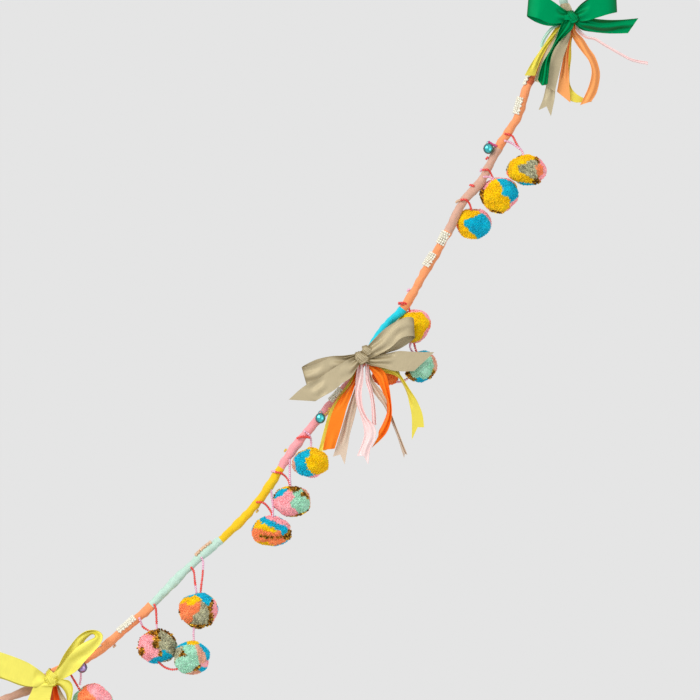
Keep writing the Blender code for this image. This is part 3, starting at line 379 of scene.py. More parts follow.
# Bow loops run out along the front and back along the rear; tails run from the knot to the cut.
GREEN_LOOP_LEFT = (
    Row(570, 14, 571, 22, -21.5), Row(562, 9.5, 563, 24, -24.5), Row(553, 3, 549.5, 24.5, -27),
    Row(541, -4, 537, 19.5, -27), Row(528.5, -6, 526.6, 16.8, -18), Row(540, -5, 535, 22.3, -10),
    Row(551, 1, 547, 26.2, -12), Row(560.5, 8, 559, 26, -18), Row(570, 14.5, 570.5, 22.5, -19.2),
)
GREEN_LOOP_RIGHT = (
    Row(573, 13.5, 574, 22, -21.5), Row(581, 6, 583, 22.5, -24.5), Row(592, -1, 595, 19.3, -27),
    Row(605, -6, 607, 15.6, -27), Row(615.3, -8, 616.3, 13, -18), Row(605, -8, 606, 14, -9),
    Row(592, -3, 594, 17, -9), Row(581, 4.5, 582.5, 20, -15), Row(573, 13.5, 574, 21, -19),
)
GREEN_TAIL_RIGHT = (
    Row(573, 15, 573, 23, -20), Row(583, 18, 580.5, 30.3, -19), Row(593.6, 19.9, 593.6, 32.6, -17, 0.5),
    Row(607.5, 21, 607.5, 33.8, -15, 0.6), Row(622, 20.6, 617.5, 33.9, -14, 0.5),
    Row(637.6, 19, 627.4, 33.8, -14, 0.2),
)
GREEN_TAIL_DOWN = (
    Row(567, 17, 573.5, 21, -21.5), Row(561.3, 24, 571.5, 30, -25), Row(555.9, 38, 560.8, 40.5, -26.5),
    Row(550.4, 50, 553.2, 50.5, -27.5, 0.25), Row(541.8, 64.8, 549.2, 64, -27),
    Row(537.2, 80.5, 546.9, 85.1, -26),
)
TAUPE_LOOP_LEFT = (
    Row(360, 353, 360, 360, -21.2), Row(345, 357.5, 348, 371, -24), Row(330, 358.5, 335, 377, -25.5),
    Row(316, 363.8, 321.5, 382, -25), Row(302, 367.3, 306.8, 384.5, -17), Row(315, 360, 320, 380, -9),
    Row(330, 356.4, 334, 374, -9), Row(344, 355.6, 346, 370, -14), Row(358.5, 353.5, 358.5, 360.5, -18.8),
)
TAUPE_TAIL_LEFT = (
    Row(358.5, 355.5, 360, 363, -21.5), Row(349, 359, 351.4, 377, -28), Row(340, 364, 342.5, 383, -30),
    Row(330, 370.5, 333.6, 390.4, -31), Row(318, 378.5, 323.5, 396, -30), Row(303, 387, 318.5, 399.2, -28),
    Row(289, 399.5, 315.2, 401, -26),
)
TAUPE_LOOP_RIGHT = (
    Row(362.5, 352.5, 366, 360, -20.5), Row(371.5, 342, 380, 354, -23.5),
    Row(384, 329.5, 391.6, 346.9, -26), Row(397, 321, 400, 339, -28), Row(407.5, 317, 408, 336, -26.5),
    Row(413.5, 319, 414.3, 337, -20), Row(406, 323, 411, 341.5, -13), Row(394, 331, 400, 348.5, -11.5),
    Row(380, 340, 387, 353, -15), Row(364, 353.5, 367.5, 360, -18.8),
)
TAUPE_TAIL_RIGHT = (
    Row(363, 354.5, 365, 362.5, -19.6), Row(373, 355.8, 371, 365.2, -20.5),
    Row(387, 353.6, 383, 367.8, -21.5), Row(399, 351, 393, 370.5, -21), Row(413, 351.8, 404, 371.4, -20),
    Row(434, 352.2, 413.9, 370.9, -18),
)
LEMON_LOOP_RIGHT = (
    Row(50, 677, 55, 681.5, -18.8), Row(58, 667, 67, 674, -15), Row(64, 655, 76, 663.5, -9, 0.1),
    Row(71, 645, 81.5, 650, -9.5, 0.2), Row(79, 635.5, 84.5, 641, -11, 0.2),
    Row(88, 630, 91, 634.5, -14, 0.2), Row(97, 629.8, 95, 634, -19), Row(103.2, 634, 95.5, 636.5, -24),
    Row(102, 641.5, 89.5, 639.5, -27), Row(95.7, 649.7, 80.5, 644.5, -28), Row(86, 660, 70, 654.5, -27),
    Row(76, 671, 61, 666.5, -24.5), Row(57, 682, 51, 677, -21.5),
)
LEMON_LOOP_LEFT = (
    Row(49, 676.5, 49.5, 683, -21.5), Row(40, 669, 37, 685.5, -24), Row(29, 661.5, 25, 684, -26),
    Row(12, 654.5, 8, 678, -27.5), Row(-6, 649, -10, 671, -27), Row(-27, 646.5, -29, 668, -18),
    Row(-8, 653, -11, 675, -10), Row(10, 656, 6, 679.5, -10.5), Row(29, 664, 26, 686, -13.5),
    Row(49, 677, 49.5, 683.5, -18.8),
)
LEMON_TAIL_LEFT = (
    Row(45.5, 679, 53, 682, -21.5), Row(36, 683.5, 54, 684, -24), Row(31.9, 691.5, 52.6, 690.5, -23.5),
    Row(27.9, 701, 50, 702, -24), Row(22, 718, 43.5, 719.5, -23), Row(16, 736, 37, 739, -21),
    Row(10, 754, 31, 762, -19),
)
LEMON_TAIL_RIGHT = (
    Row(52.5, 677.5, 53.5, 683, -20.2), Row(62, 678.2, 60, 685, -20, 0.1),
    Row(70, 680, 64.5, 689.5, -19, 0.15), Row(73.4, 686, 67, 695, -18, 0.2),
    Row(72.8, 695, 67, 701.5, -17.5, 0.3), Row(70, 708, 63.5, 710.5, -17, 0.25),
    Row(66, 730, 56, 732, -17, 0.1), Row(62, 752, 48, 758, -17),
)

CUTS = (
    RibbonCut("green_bunch_yellow", GREEN_YELLOW, 0.012, (0, 0), Satin.YELLOW),
    # Painted light: this orange ribbon is coloured paler than its satin, as where light falls through it
    # from behind.
    RibbonCut("green_bunch_orange", GREEN_ORANGE, 0.015, (0, 0), Satin.ORANGE, (255, 170, 102)),
    RibbonCut("green_bunch_taupe", GREEN_TAUPE, 0.015, (9, 0), Satin.TAUPE),
    RibbonCut("green_bunch_shadow_taupe", GREEN_SHADOW_TAUPE, 0.012, (0, 0), Satin.TAUPE),
    RibbonCut("green_bunch_pink", GREEN_PINK, 0.006, (0, 0), Satin.PALE_PINK),
    RibbonCut("green_bunch_mint", GREEN_MINT, 0.006, (0, 0), Satin.MINT),
    RibbonCut("taupe_bunch_yellow", TAUPE_YELLOW, 0.012, (0, 8), Satin.YELLOW),
    RibbonCut("taupe_bunch_orange", TAUPE_ORANGE, 0.018, (0, 6), Satin.ORANGE),
    RibbonCut("taupe_bunch_taupe", TAUPE_TAUPE, 0.015, (8, 4), Satin.ROSE_TAUPE),
    RibbonCut("taupe_bunch_pink", TAUPE_PINK, 0.018, (6, 0), Satin.PALE_PINK),
    # Painted shade: this orange ribbon is coloured deeper than its satin, as where it lies folded in shade.
    RibbonCut("lemon_bunch_orange", LEMON_ORANGE, 0.018, (0, 6), Satin.ORANGE, (238, 96, 34)),
    # This ribbon's colour is its own cream, close to its satin.
    RibbonCut("lemon_bunch_taupe", LEMON_TAUPE, 0.015, (0, 6), Satin.ROSE_TAUPE, (222, 206, 172)),
)

KNOT_FOLDS = (
    Fold(58, 0.0036, 0.0, 0.0080, 2.0),
    Fold(44, -0.0036, 0.0006, 0.0080, 1.5),
    Fold(-46, 0.0006, 0.0018, 0.0072, 2.5),
)

BOWS = (
    BowCut("bow_green", (571.5, 18, -21.2), (567.6, 18.5), 0, 0, Satin.GREEN, (
        Strip(GREEN_LOOP_LEFT, 0), Strip(GREEN_LOOP_RIGHT, 0), Strip(GREEN_TAIL_RIGHT, 0),
        Strip(GREEN_TAIL_DOWN, -5))),
    BowCut("bow_taupe", (360.9, 357.7, -21.2), (363.8, 358.5), -15, 8, Satin.TAUPE, (
        Strip(TAUPE_LOOP_LEFT, 0), Strip(TAUPE_LOOP_RIGHT, 0), Strip(TAUPE_TAIL_LEFT, 0),
        Strip(TAUPE_TAIL_RIGHT, 0)), second_knot=(366.8, 350.4, -20.6)),
    BowCut("bow_lemon", (51.5, 679, -21.2), (53.5, 674.2), -38, -10, Satin.LEMON, (
        Strip(LEMON_LOOP_RIGHT, 0), Strip(LEMON_LOOP_LEFT, 0), Strip(LEMON_TAIL_LEFT, 0),
        Strip(LEMON_TAIL_RIGHT, 0)), 0.9),
)


BALLS = (
    Ball("pompom_01", 526.5, 170, 49, 36, None, "wool_mustard", (
        (Wool.MUSTARD, (-0.7, 0), (-0.4, 0.6), (-0.4, -0.55), (0.1, 0.85), (0.1, -0.75)),
        (Wool.OLIVE, (0.15, 0.1), (0.4, 0.45), (0.4, -0.35), (-0.2, 0.08)),
        (Wool.ORANGE, (0.7, 0.15), (0.7, -0.2)), (Wool.PINK, (0.92, 0), (0.85, -0.4), (0.85, 0.4)),
        (Wool.GOLD, (0.6, 0.6), (0.5, -0.75)), (Wool.TURQUOISE, (0.2, -1.0)))),
    Ball("pompom_02", 499.7, 194.5, 49, 45, None, "wool_mustard", (
        (Wool.TURQUOISE, (0.35, 0.6), (0.7, 0.25), (0.45, 0.2), (0.8, -0.1)),
        (Wool.MUSTARD, (-0.5, 0.2), (-0.2, -0.3), (-0.5, -0.5), (0.2, -0.4), (-0.1, 0.4), (0.1, -0.8)),
        (Wool.PINK, (0.85, -0.5), (0.5, -0.9), (-0.75, 0.7), (0.2, 1.0)),
        (Wool.GOLD, (-0.98, -0.15), (0, -1.0)))),
    Ball("pompom_03", 473.5, 223.4, 47, 36, None, "wool_turquoise", (
        (Wool.TURQUOISE, (0, 0.1), (0.4, 0.3), (0.6, -0.2), (0.1, -0.5), (0.45, -0.6), (-0.3, -0.05)),
        (Wool.MUSTARD, (-0.8, 0.1), (-0.5, 0.55), (-0.1, 0.75), (-0.6, -0.5), (-0.35, -0.8)),
        (Wool.PINK, (0.65, 0.8), (0.95, 0.4)), (Wool.TAN, (0.1, 1.0)), (Wool.ORANGE, (-1, -0.15)))),
    Ball("pompom_04", 414, 326, 43, 42, None, "wool_mustard", (
        (Wool.MUSTARD, (0.35, 0), (0.3, 0.5), (0.35, -0.5), (0.6, 0.1), (0, 0.3), (-0.5, 0)),
        (Wool.PINK, (0.8, 0.6), (0.9, -0.4), (0.2, 0.98), (0.6, -0.8)), (Wool.ORANGE, (1, 0.1)))),
    Ball("pompom_05", 421, 366, 42, 40, 9, "wool_mint", (
        (Wool.MINT, (0, 0), (0.4, -0.2), (0.3, -0.6), (-0.3, -0.4), (0.5, 0.3), (0, 0.5)),
        (Wool.TURQUOISE, (0, 0.98), (-0.1, -0.98), (0.2, -1)), (Wool.TAN, (0.98, -0.2), (0.9, 0.4)),
        (Wool.GOLD, (-0.6, -0.75), (0.75, -0.6)), (Wool.TAN, (0.85, -0.65)))),
    Ball("pompom_06", 386, 373, 35, 36, 13, "wool_orange", (
        (Wool.DEEP_ORANGE, (0, 0), (0.5, 0.3), (-0.5, 0.3), (0.2, -0.6), (0.7, -0.5), (-0.5, -0.5)),
        (Wool.OLIVE, (0.95, 0.1)))),
    Ball("pompom_07", 310.5, 462.5, 47, 37, None, "wool_turquoise", (
        (Wool.TURQUOISE, (-0.6, 0.35), (-0.35, 0.62), (-0.6, -0.3), (-0.25, -0.75), (-0.5, 0)),
        (Wool.MUSTARD, (0.25, 0.6), (-0.02, 0.1), (0.5, 0), (0.3, -0.5), (0.7, 0.5), (0.6, -0.6)),
        (Wool.TAN, (-1, -0.2)), (Wool.PINK, (0.3, -1.0)))),
    Ball("pompom_08", 292, 501.3, 48, 38, None, "wool_pink", (
        (Wool.PINK, (-0.5, 0), (-0.3, -0.5), (-0.15, 0.4), (-0.6, -0.5), (0, -0.7), (-0.75, 0.1)),
        (Wool.MINT, (0.38, 0.6), (0.38, 0.05), (0.48, -0.5), (0.62, -0.3), (0.75, 0.1), (0.3, -0.2)),
        (Wool.GOLD, (0.25, 0.78), (0.6, 0.5), (0.78, 0.2), (0.55, -0.95)), (Wool.TURQUOISE, (-0.7, 0.6)),
        (Wool.MUSTARD, (-0.5, 0.9)), (Wool.TAN, (0.95, 0.4)))),
    Ball("pompom_09", 271.8, 531.3, 50, 36, None, "wool_mustard", (
        (Wool.PINK, (0.45, 0.72), (0.06, 0.9), (0.85, 0.45)),
        (Wool.TURQUOISE, (-0.38, 0.75), (-0.04, 0.53), (0.32, 0.32), (0.64, 0.08)),
        (Wool.MUSTARD, (-0.7, 0.5), (-0.32, 0.3), (0.06, 0.12), (-0.4, -0.85)),
        (Wool.ORANGE, (-0.83, -0.05), (-0.5, -0.05), (-0.06, -0.15), (0.3, -0.15), (-0.58, -0.58)),
        (Wool.ORANGE, (0.06, -0.62), (0.4, -0.6)), (Wool.TURQUOISE, (0.55, -0.85)),
        (Wool.GOLD, (-0.6, -0.36), (-0.2, -0.38), (0.1, -0.39), (0.4, -0.38), (0.75, -0.3), (0.95, -0.1)))),
    Ball("pompom_10", 198.8, 609.6, 50, 43, 0, "wool_orange", (
        (Wool.MUSTARD, (-0.6, 0.72), (-0.26, 0.62), (-0.38, 0.45)),
        (Wool.ORANGE, (-0.77, 0.17), (-0.38, 0.15), (-0.58, -0.34), (-0.2, -0.05), (-0.05, 0.28)),
        (Wool.OLIVE, (0.26, 0.3), (0.29, -0.05), (0, -0.3), (0.06, -0.7), (0.32, -0.56)),
        (Wool.TURQUOISE, (0.32, 0.82), (0.48, 0.55), (-0.45, 0.95)),
        (Wool.GOLD, (0.7, 0.4), (0.64, 0.1), (0.6, -0.5), (0.72, -0.3), (0, -0.95)),
        (Wool.PINK, (0.88, 0.17), (0.85, -0.15)))),
    Ball("pompom_11", 157.5, 646.5, 51, 42, None, "wool_pink", (
        (Wool.PINK, (-0.65, 0.4), (-0.9, 0.2), (-0.4, 0.55), (-0.34, -0.2), (-0.47, -0.57), (-0.1, -0.35)),
        (Wool.OLIVE, (0.39, 0.63), (0.58, 0.33), (0.35, 0.1), (0.64, -0.12), (0.8, 0.3)),
        (Wool.GOLD, (-0.22, 0.8), (-0.06, 0.45), (0.02, 0.12), (0.18, -0.4), (-0.83, -0.25), (0.7, 0.7)),
        (Wool.TURQUOISE, (0.42, -0.42), (0.02, -0.85), (0.25, -0.7)))),
    Ball("pompom_12", 191.5, 657, 47, 43, -8, "wool_mint", (
        (Wool.MINT, (-0.19, 0.57), (0.08, 0.35), (-0.45, -0.16), (-0.05, -0.16), (0.08, -0.53)),
        (Wool.MINT, (0.28, 0), (-0.4, -0.5)), (Wool.MUSTARD, (0.08, 0.98)),
        (Wool.TURQUOISE, (-0.55, 0.8), (0.75, 0.55), (0.92, 0.06), (0.65, -0.7)),
        (Wool.TAN, (0.55, 0.42), (0.62, 0.06), (0.35, -0.88)), (Wool.PINK, (0.85, -0.35)),
        (Wool.OLIVE, (-0.88, 0.28), (-0.72, 0.5)), (Wool.GOLD, (-0.52, 0.28), (0.28, -0.67)))),
    Ball("pompom_13", 93, 703, 50, 47, 2, "wool_pink", (
        (Wool.MINT, (-0.92, 0.3)), (Wool.ORANGE, (-0.5, 0.5), (-0.3, 0.4), (-0.5, -0.2)),
        (Wool.PINK, (0.1, 0.7), (0.5, 0.5), (0.85, 0.2), (0.3, -0.3)))),
)

BELLS = (
    ("bell_upper", 488.3, 148.8, Lacquer.TURQUOISE),
    ("bell_middle", 320.4, 418, Lacquer.TURQUOISE),
    ("bell_lower", 82.5, 667, Lacquer.LILAC),
)

EDGES = (
    Edge("beads_edge_1", 487, 158.5, Glass.CORAL, 2),
    Edge("beads_edge_2", 482, 171, Glass.PINK, 2, 90.0),
    Edge("beads_edge_3", 471.5, 186, Glass.CORAL, 4, 62.0),
    Edge("beads_edge_4", 459, 202, Glass.SAND, 4, 66.0, 2.0),
    Edge("beads_edge_5", 408, 290, Glass.PINK, 2),
    Edge("beads_edge_6", 399.5, 303, Glass.CORAL, 4, 62.0),
    Edge("beads_edge_7", 287.5, 451, Glass.AMBER, 2, 88.0),
    Edge("beads_edge_8", 273.5, 471, Glass.PINK, 4, 62.0),
    Edge("beads_edge_9", 265, 518, Glass.AMBER, 2, -90.0),
    Edge("beads_edge_10", 113.5, 646.5, Glass.SAND, 2, -95.0),
)

BEAD_RUNS = (
    BeadRun("beads_bell_upper", None, Glass.MAGENTA, None, (
        (489, 142.2, -7), (492.6, 144.6, -6.5), (496, 146, -6))),
    BeadRun("beads_bell_middle", None, Glass.AMBER, None, (
        (325, 414.5, -9), (328, 412, -9), (329.5, 408.5, -9))),
    BeadRun("beads_01a", "strand_01", Glass.CORAL, None, (
        (505, 134, -7.5), (512, 136, -5), (516, 143, -2), (520, 149, -1))),
    BeadRun("beads_01b", None, Glass.PINK, "pompom_01", (
        (505, 141, -7), (511, 143, -4), (517, 147, -3), (522, 151, -2))),
    BeadRun("beads_02a", "strand_02", Glass.CORAL, "pompom_02", (
        (483, 170, -7.5), (488, 170, -6), (491, 174, -2))),
    BeadRun("beads_02b", None, Glass.PINK, "pompom_02", (
        (484, 177, -7), (489, 177, -4), (493, 179, -3))),
    BeadRun("beads_03a", "strand_03", Glass.CORAL, "pompom_03", (
        (461, 200, -7.5), (466, 200, -7), (470, 205, -2))),
    BeadRun("beads_04a", "strand_04", Glass.CORAL, "pompom_04", (
        (399, 303, -7.5), (404.5, 303, -6), (408.5, 307, 0))),
    BeadRun("beads_05a", "strand_05", Glass.CORAL, "pompom_05", ((414, 342, 8), (415, 347, 6))),
    BeadRun("beads_05b", None, Glass.PINK, "pompom_05", ((412, 340, 8), (410, 347, 4))),
    BeadRun("beads_06a", "strand_06", Glass.PINK, "pompom_05", (
        (397, 382, 10), (402, 381.5, 8), (407, 379, 8))),
    BeadRun("beads_07a", "strand_07", Glass.CORAL, None, (
        (297.5, 438, -7), (303, 436.5, -8), (309, 437.5, -6))),
    BeadRun("beads_07b", None, Glass.PINK, "pompom_07", (
        (305, 431.5, -7), (309, 434.5, -6), (311, 440, -2))),
    BeadRun("beads_08a", "strand_08", Glass.CORAL, "pompom_08", (
        (276, 472, -7.5), (281, 473, -7), (286, 477, -3), (289.5, 483, -2))),
    BeadRun("beads_08b", None, Glass.PINK, "pompom_08", (
        (289.7, 460, -3), (289.7, 470, -1), (290, 479, -4))),
    BeadRun("beads_09a", "strand_09", Glass.CORAL, "pompom_09", (
        (257, 502, -7.5), (263, 502.5, -7), (268, 507, -3), (272, 514, -2))),
    BeadRun("beads_09b", None, Glass.PINK, "pompom_09", (
        (271, 490, -3), (272, 498, -1), (273, 508, -3))),
    BeadRun("beads_10a", "strand_10", Glass.CORAL, "pompom_10", (
        (191.5, 567.5, -5), (194, 572, -4), (195, 582, -2)), Glass.PINK, 0.62),
    BeadRun("beads_11a", "strand_11", Glass.PINK, "pompom_10", (
        (201.5, 557.5, -5), (203.2, 562, -4), (202.7, 574, -2), (201.5, 584, -2)),
        Glass.CORAL, 0.34),
    BeadRun("beads_12a", "strand_12", Glass.PINK, "pompom_12", (
        (194, 628, -4), (193.6, 634, -6), (194, 638, -7))),
    BeadRun("beads_13a", "strand_13", Glass.CORAL, "pompom_11", (
        (154.5, 604.5, -5), (156, 609, -4), (156.5, 620, 0)), Glass.PINK, 0.7),
    BeadRun("beads_14a", "strand_14", Glass.PINK, "pompom_11", (
        (139.5, 618, -6), (141, 622, -5), (143, 627, 0), (149, 631, 0)),
        Glass.CORAL, 0.4),
    BeadRun("beads_15a", "strand_15", Glass.CORAL, "pompom_12", (
        (158, 661, -7), (164.5, 666.5, -10), (172, 669, -12), (179, 668, -12))),
    BeadRun("beads_16a", "strand_16", Glass.PINK, None, (
        (76, 662, -7.5), (80, 666, -5), (81, 676, -2), (80, 684, -2))),
    BeadRun("beads_16b", None, Glass.CORAL, "pompom_13", (
        (70, 673, -5), (73, 678, -4), (77, 685, -2), (80, 690, -2))),
)


def place(across: float, down: float, depth: float = 0.0) -> Vector:
    """Return the point in metres of a place in the 700 unit frame.

    Args:
        across: Units from the frame's left side.
        down: Units from the frame's top side.
        depth: Metres away from the viewer.

    Returns:
        The point in the garland's own frame.
    """
    return Vector(((across - HANG_ACROSS) * PIXEL, depth, (HANG_DOWN - down) * PIXEL))


def linear(colour: tuple[int, int, int]) -> Colour:
    """Return a colour from 0 to 255 as linear red, green, blue and alpha.

    Args:
        colour: Red, green and blue.

    Returns:
        The linear colour, with an alpha of one.
    """
    parts = []
    for value in colour:
        share = value / 255.0
        parts.append(share / 12.92 if share <= 0.04045 else ((share + 0.055) / 1.055) ** 2.4)
    return (parts[0], parts[1], parts[2], 1.0)


def shade(colour: Colour, factor: float) -> Colour:
    """Return a colour made lighter or darker by a factor."""
    return (min(colour[0] * factor, 1.0), min(colour[1] * factor, 1.0), min(colour[2] * factor, 1.0), 1.0)


def between(before: Vector, start: Vector, end: Vector, after: Vector, share: float) -> Vector:
    """Return a point of the smooth curve between start and end, with its neighbours as guides.

    Args:
        before: The point before the start.
        start: The start.
        end: The end.
        after: The point after the end.
        share: How far along, from 0 to 1.

    Returns:
        The point.
    """
    square = share * share
    cube = square * share
    return 0.5 * ((2 * start) + (end - before) * share + (2 * before - 5 * start + 4 * end - after) * square
                  + (3 * start - before - 3 * end + after) * cube)


def smooth_path(points: list[Vector], steps: int) -> list[Vector]:
    """Return a smooth curve through points.

    Args:
        points: The points that the curve passes.
        steps: How many steps each stretch between two points gets.

    Returns:
        The points of the curve.
    """
    line = []
    last = len(points) - 1
    for index in range(last):
        before = points[max(index - 1, 0)]
        after = points[min(index + 2, last)]
        for step in range(steps):
            line.append(between(before, points[index], points[index + 1], after, step / steps))
    line.append(points[last].copy())
    return line


def path_length(points: list[Vector]) -> float:
    """Return the length of a line of points."""
    return sum((later - sooner).length for sooner, later in zip(points, points[1:]))


class Tree:
    """A node tree being built, with short calls for its nodes and links."""

    def __init__(self, group: bpy.types.NodeTree) -> None:
        """Build in a tree that exists already."""
        self.group = group

    def socket(self, name: str, kind: str, side: str = "INPUT", value: object = None) -> None:
        """Add a named input or output to the group.

        Args:
            name: The socket's name.
            kind: The end of the socket's type name.
            side: INPUT or OUTPUT.
            value: The default value, if it has one.
        """
        item = self.group.interface.new_socket(name=name, in_out=side, socket_type="NodeSocket" + kind)
        if value is not None:
            item.default_value = value

    def fill(self, node: bpy.types.Node, values: dict[str | int, object]) -> None:
        """Give a node's inputs their values.

        Args:
            node: The node.
            values: A plain value, or a socket to link, under each input's name or number.
        """
        for name, value in values.items():
            if isinstance(value, bpy.types.NodeSocket):
                self.group.links.new(value, node.inputs[name])
            else:
                node.inputs[name].default_value = value

    def add(self, kind: str, values: dict[str | int, object] | None = None,
            **settings: object) -> bpy.types.Node:
        """Add a node.

        Args:
            kind: The node's type name.
            values: What its inputs are given.
            settings: Its properties.

        Returns:
            The node.
        """
        node = self.group.nodes.new(kind)
        for name, value in settings.items():
            setattr(node, name, value)
        self.fill(node, values or {})
        return node

    def repeat(self, given: bpy.types.NodeOutputs, item: str, points: bpy.types.NodeSocket,
               turn: bpy.types.NodeSocket, size: bpy.types.NodeSocket) -> None:
        """Put an object on every point, and end the tree in plain faces of one material.

        Args:
            given: The sockets of the tree's inputs.
            item: The input that names the object.
            points: The points.
            turn: How the object is turned at each.
            size: How large it is at each.
        """
        source = self.add("GeometryNodeObjectInfo", {"Object": given[item]})
        placed = self.add("GeometryNodeInstanceOnPoints", {
            "Points": points, "Instance": source.outputs["Geometry"], "Rotation": turn, "Scale": size})
        real = self.add("GeometryNodeRealizeInstances", {0: placed.outputs[0]})
        dressed = self.add("GeometryNodeSetMaterial", {
            "Geometry": real.outputs[0], "Material": given["Material"]})
        self.add("NodeGroupOutput", {0: dressed.outputs[0]})

    def identifier(self, name: str) -> str:
        """Return the identifier of the group's input with that name.

        Args:
            name: The input's name.

        Returns:
            Its identifier.
        """
        for item in self.group.interface.items_tree:
            if item.item_type == "SOCKET" and item.in_out == "INPUT" and item.name == name:
                return item.identifier
        raise KeyError(name)


def grain_group() -> bpy.types.NodeTree:
    """Return the group for fine drawn-out grain with soft mottling, made once.

    Returns:
        A group with Grain and Mottle, both from 0 to 1, over a vector in metres.
    """
    found = bpy.data.node_groups.get("cloth_grain")
    if found:
        return found
    tree = Tree(bpy.data.node_groups.new("cloth_grain", "ShaderNodeTree"))
    tree.socket("Vector", "Vector")
    tree.socket("Along Scale", "Float", value=200.0)
    tree.socket("Across Scale", "Float", value=2000.0)
    tree.socket("Mottle Scale", "Float", value=90.0)
    tree.socket("Grain", "Float", "OUTPUT")
    tree.socket("Mottle", "Float", "OUTPUT")
    given = tree.add("NodeGroupInput").outputs
    stretch = tree.add("ShaderNodeCombineXYZ", {
        0: given["Along Scale"], 1: given["Across Scale"], 2: given["Across Scale"]})
    scaled = tree.add("ShaderNodeVectorMath", {0: given["Vector"], 1: stretch.outputs[0]},
                      operation="MULTIPLY")
    fine = tree.add("ShaderNodeTexNoise", {"Vector": scaled.outputs[0], "Scale": 1.0, "Detail": 2.0})
    broad = tree.add("ShaderNodeTexNoise", {
        "Vector": given["Vector"], "Scale": given["Mottle Scale"], "Detail": 3.0})
    tree.add("NodeGroupOutput", {"Grain": fine.outputs["Fac"], "Mottle": broad.outputs["Fac"]})
    return tree.group


@dataclass(frozen=True)
class Finish:
    """A finish: its name, its colours and how it takes the light."""

    name: str
    colour: Colour
    roughness: float = 0.5
    rough_spread: float = 0.08
    metallic: float = 0.0
    sheen: float = 0.0
    coat: float = 0.0
    specular: float = 0.5
    grain_scales: tuple[float, float, float] = (200.0, 2000.0, 90.0)
    tone_range: tuple[float, float] = (0.6, 1.4)
    dark: float = 0.8
    light: float = 1.12
    bump: float = 0.2
    bump_distance: float = 0.0002
    layer: str = ""
    colour_layer: str = ""
    # Painted shade where the surface turns away from the view: the share of its colour kept there, the
    # facing range it fades in over, and on satin how much deeper and darker it gets.
    rim: float = 1.0
    painted_shade_range: tuple[float, float] = (0.08, 0.5)
    painted_shade_power: float = 1.2
    painted_shade_darkest: float = 0.6
    # Highlights in the satin's own colour, and a deeper, more saturated painted shade where the surface
    # turns away.
    coloured_gloss_painted_shade: bool = False

    def material(self) -> bpy.types.Material:
        """Return the finish's material, made the first time that it is asked for."""
        found = bpy.data.materials.get(f"look_{self.name}")
        return found if found else self.build()

    def build(self) -> bpy.types.Material:
        """Build the material.

        Returns:
            A Principled material with grain and mottling in its colour, roughness and normal, and painted
            shade in its colour where the surface turns away.
        """
        material = bpy.data.materials.new(f"look_{self.name}")
        material.use_nodes = True
        tree = Tree(material.node_tree)
        if self.layer:
            where = tree.add("ShaderNodeUVMap", uv_map=self.layer).outputs["UV"]
        else:
            where = tree.add("ShaderNodeTexCoord").outputs["Object"]
        along, across, mottle = self.grain_scales
        grain = tree.add("ShaderNodeGroup", {
            "Vector": where, "Along Scale": along, "Across Scale": across, "Mottle Scale": mottle,
        }, node_tree=grain_group())
        rough = tree.add("ShaderNodeMapRange", {
            "Value": grain.outputs["Mottle"], "To Min": max(self.roughness - self.rough_spread, 0.02),
            "To Max": min(self.roughness + self.rough_spread, 1.0)})
        relief = tree.add("ShaderNodeBump", {
            "Strength": self.bump, "Distance": self.bump_distance, "Height": grain.outputs["Grain"]})
        shader = tree.group.nodes["Principled BSDF"]
        tree.fill(shader, {
            "Base Color": self.colour_nodes(tree, grain), "Roughness": rough.outputs["Result"],
            "Metallic": self.metallic, "Sheen Weight": self.sheen, "Coat Weight": self.coat,
            "Specular IOR Level": self.specular, "Normal": relief.outputs["Normal"]})
        if self.coloured_gloss_painted_shade:
            tree.fill(shader, {"Specular Tint": shade(self.colour, 1.0)})
        return material

    def painted_shade_colour(self) -> Colour:
        """Return the painted shade colour where the surface turns away: deeper and more saturated on satin,
        darker on metal.

        Returns:
            The colour.
        """
        if not self.coloured_gloss_painted_shade:
            return shade(self.colour, self.rim)
        power = 1.0 + self.painted_shade_power * (1.0 - self.rim)
        level = self.painted_shade_darkest + (1.0 - self.painted_shade_darkest) * self.rim
        return shade(tuple(channel ** power for channel in self.colour), level)

    def colour_nodes(self, tree: Tree, grain: bpy.types.Node) -> bpy.types.NodeSocket:
        """Lay the grain and mottling into the base colour, and the painted shade where the surface turns
        away.

        Args:
            tree: The material's nodes.
            grain: Its grain group node.

        Returns:
            The colour.
        """
        tone = tree.add("ShaderNodeMath", {0: grain.outputs["Grain"], 1: grain.outputs["Mottle"]},
                        operation="ADD")
        low, high = self.tone_range
        spread = tree.add("ShaderNodeMapRange", {
            "Value": tone.outputs[0], "From Min": low, "From Max": high})
        if self.colour_layer:
            source = tree.add("ShaderNodeAttribute", attribute_name=self.colour_layer)
            level = tree.add("ShaderNodeMapRange", {
                "Value": spread.outputs["Result"], "To Min": self.dark, "To Max": self.light})
            scaled = tree.add("ShaderNodeVectorMath", {
                0: source.outputs["Color"], "Scale": level.outputs["Result"]}, operation="SCALE")
            return scaled.outputs[0]
        blend = tree.add("ShaderNodeMix", {
            0: spread.outputs["Result"], 6: shade(self.colour, self.dark),
            7: shade(self.colour, self.light)}, data_type="RGBA")
        if self.rim == 1.0:
            return blend.outputs[2]
        # Painted shade: the colour mixes towards a darker one as the surface turns away from the view.
        weight = tree.add("ShaderNodeLayerWeight", {"Blend": 0.5})
        low, high = self.painted_shade_range
        facing = tree.add("ShaderNodeMapRange", {
            "Value": weight.outputs["Facing"], "From Min": low, "From Max": high})
        deeper = tree.add("ShaderNodeMix", {
            0: facing.outputs["Result"], 6: blend.outputs[2], 7: self.painted_shade_colour()}, data_type="RGBA")
        return deeper.outputs[2]


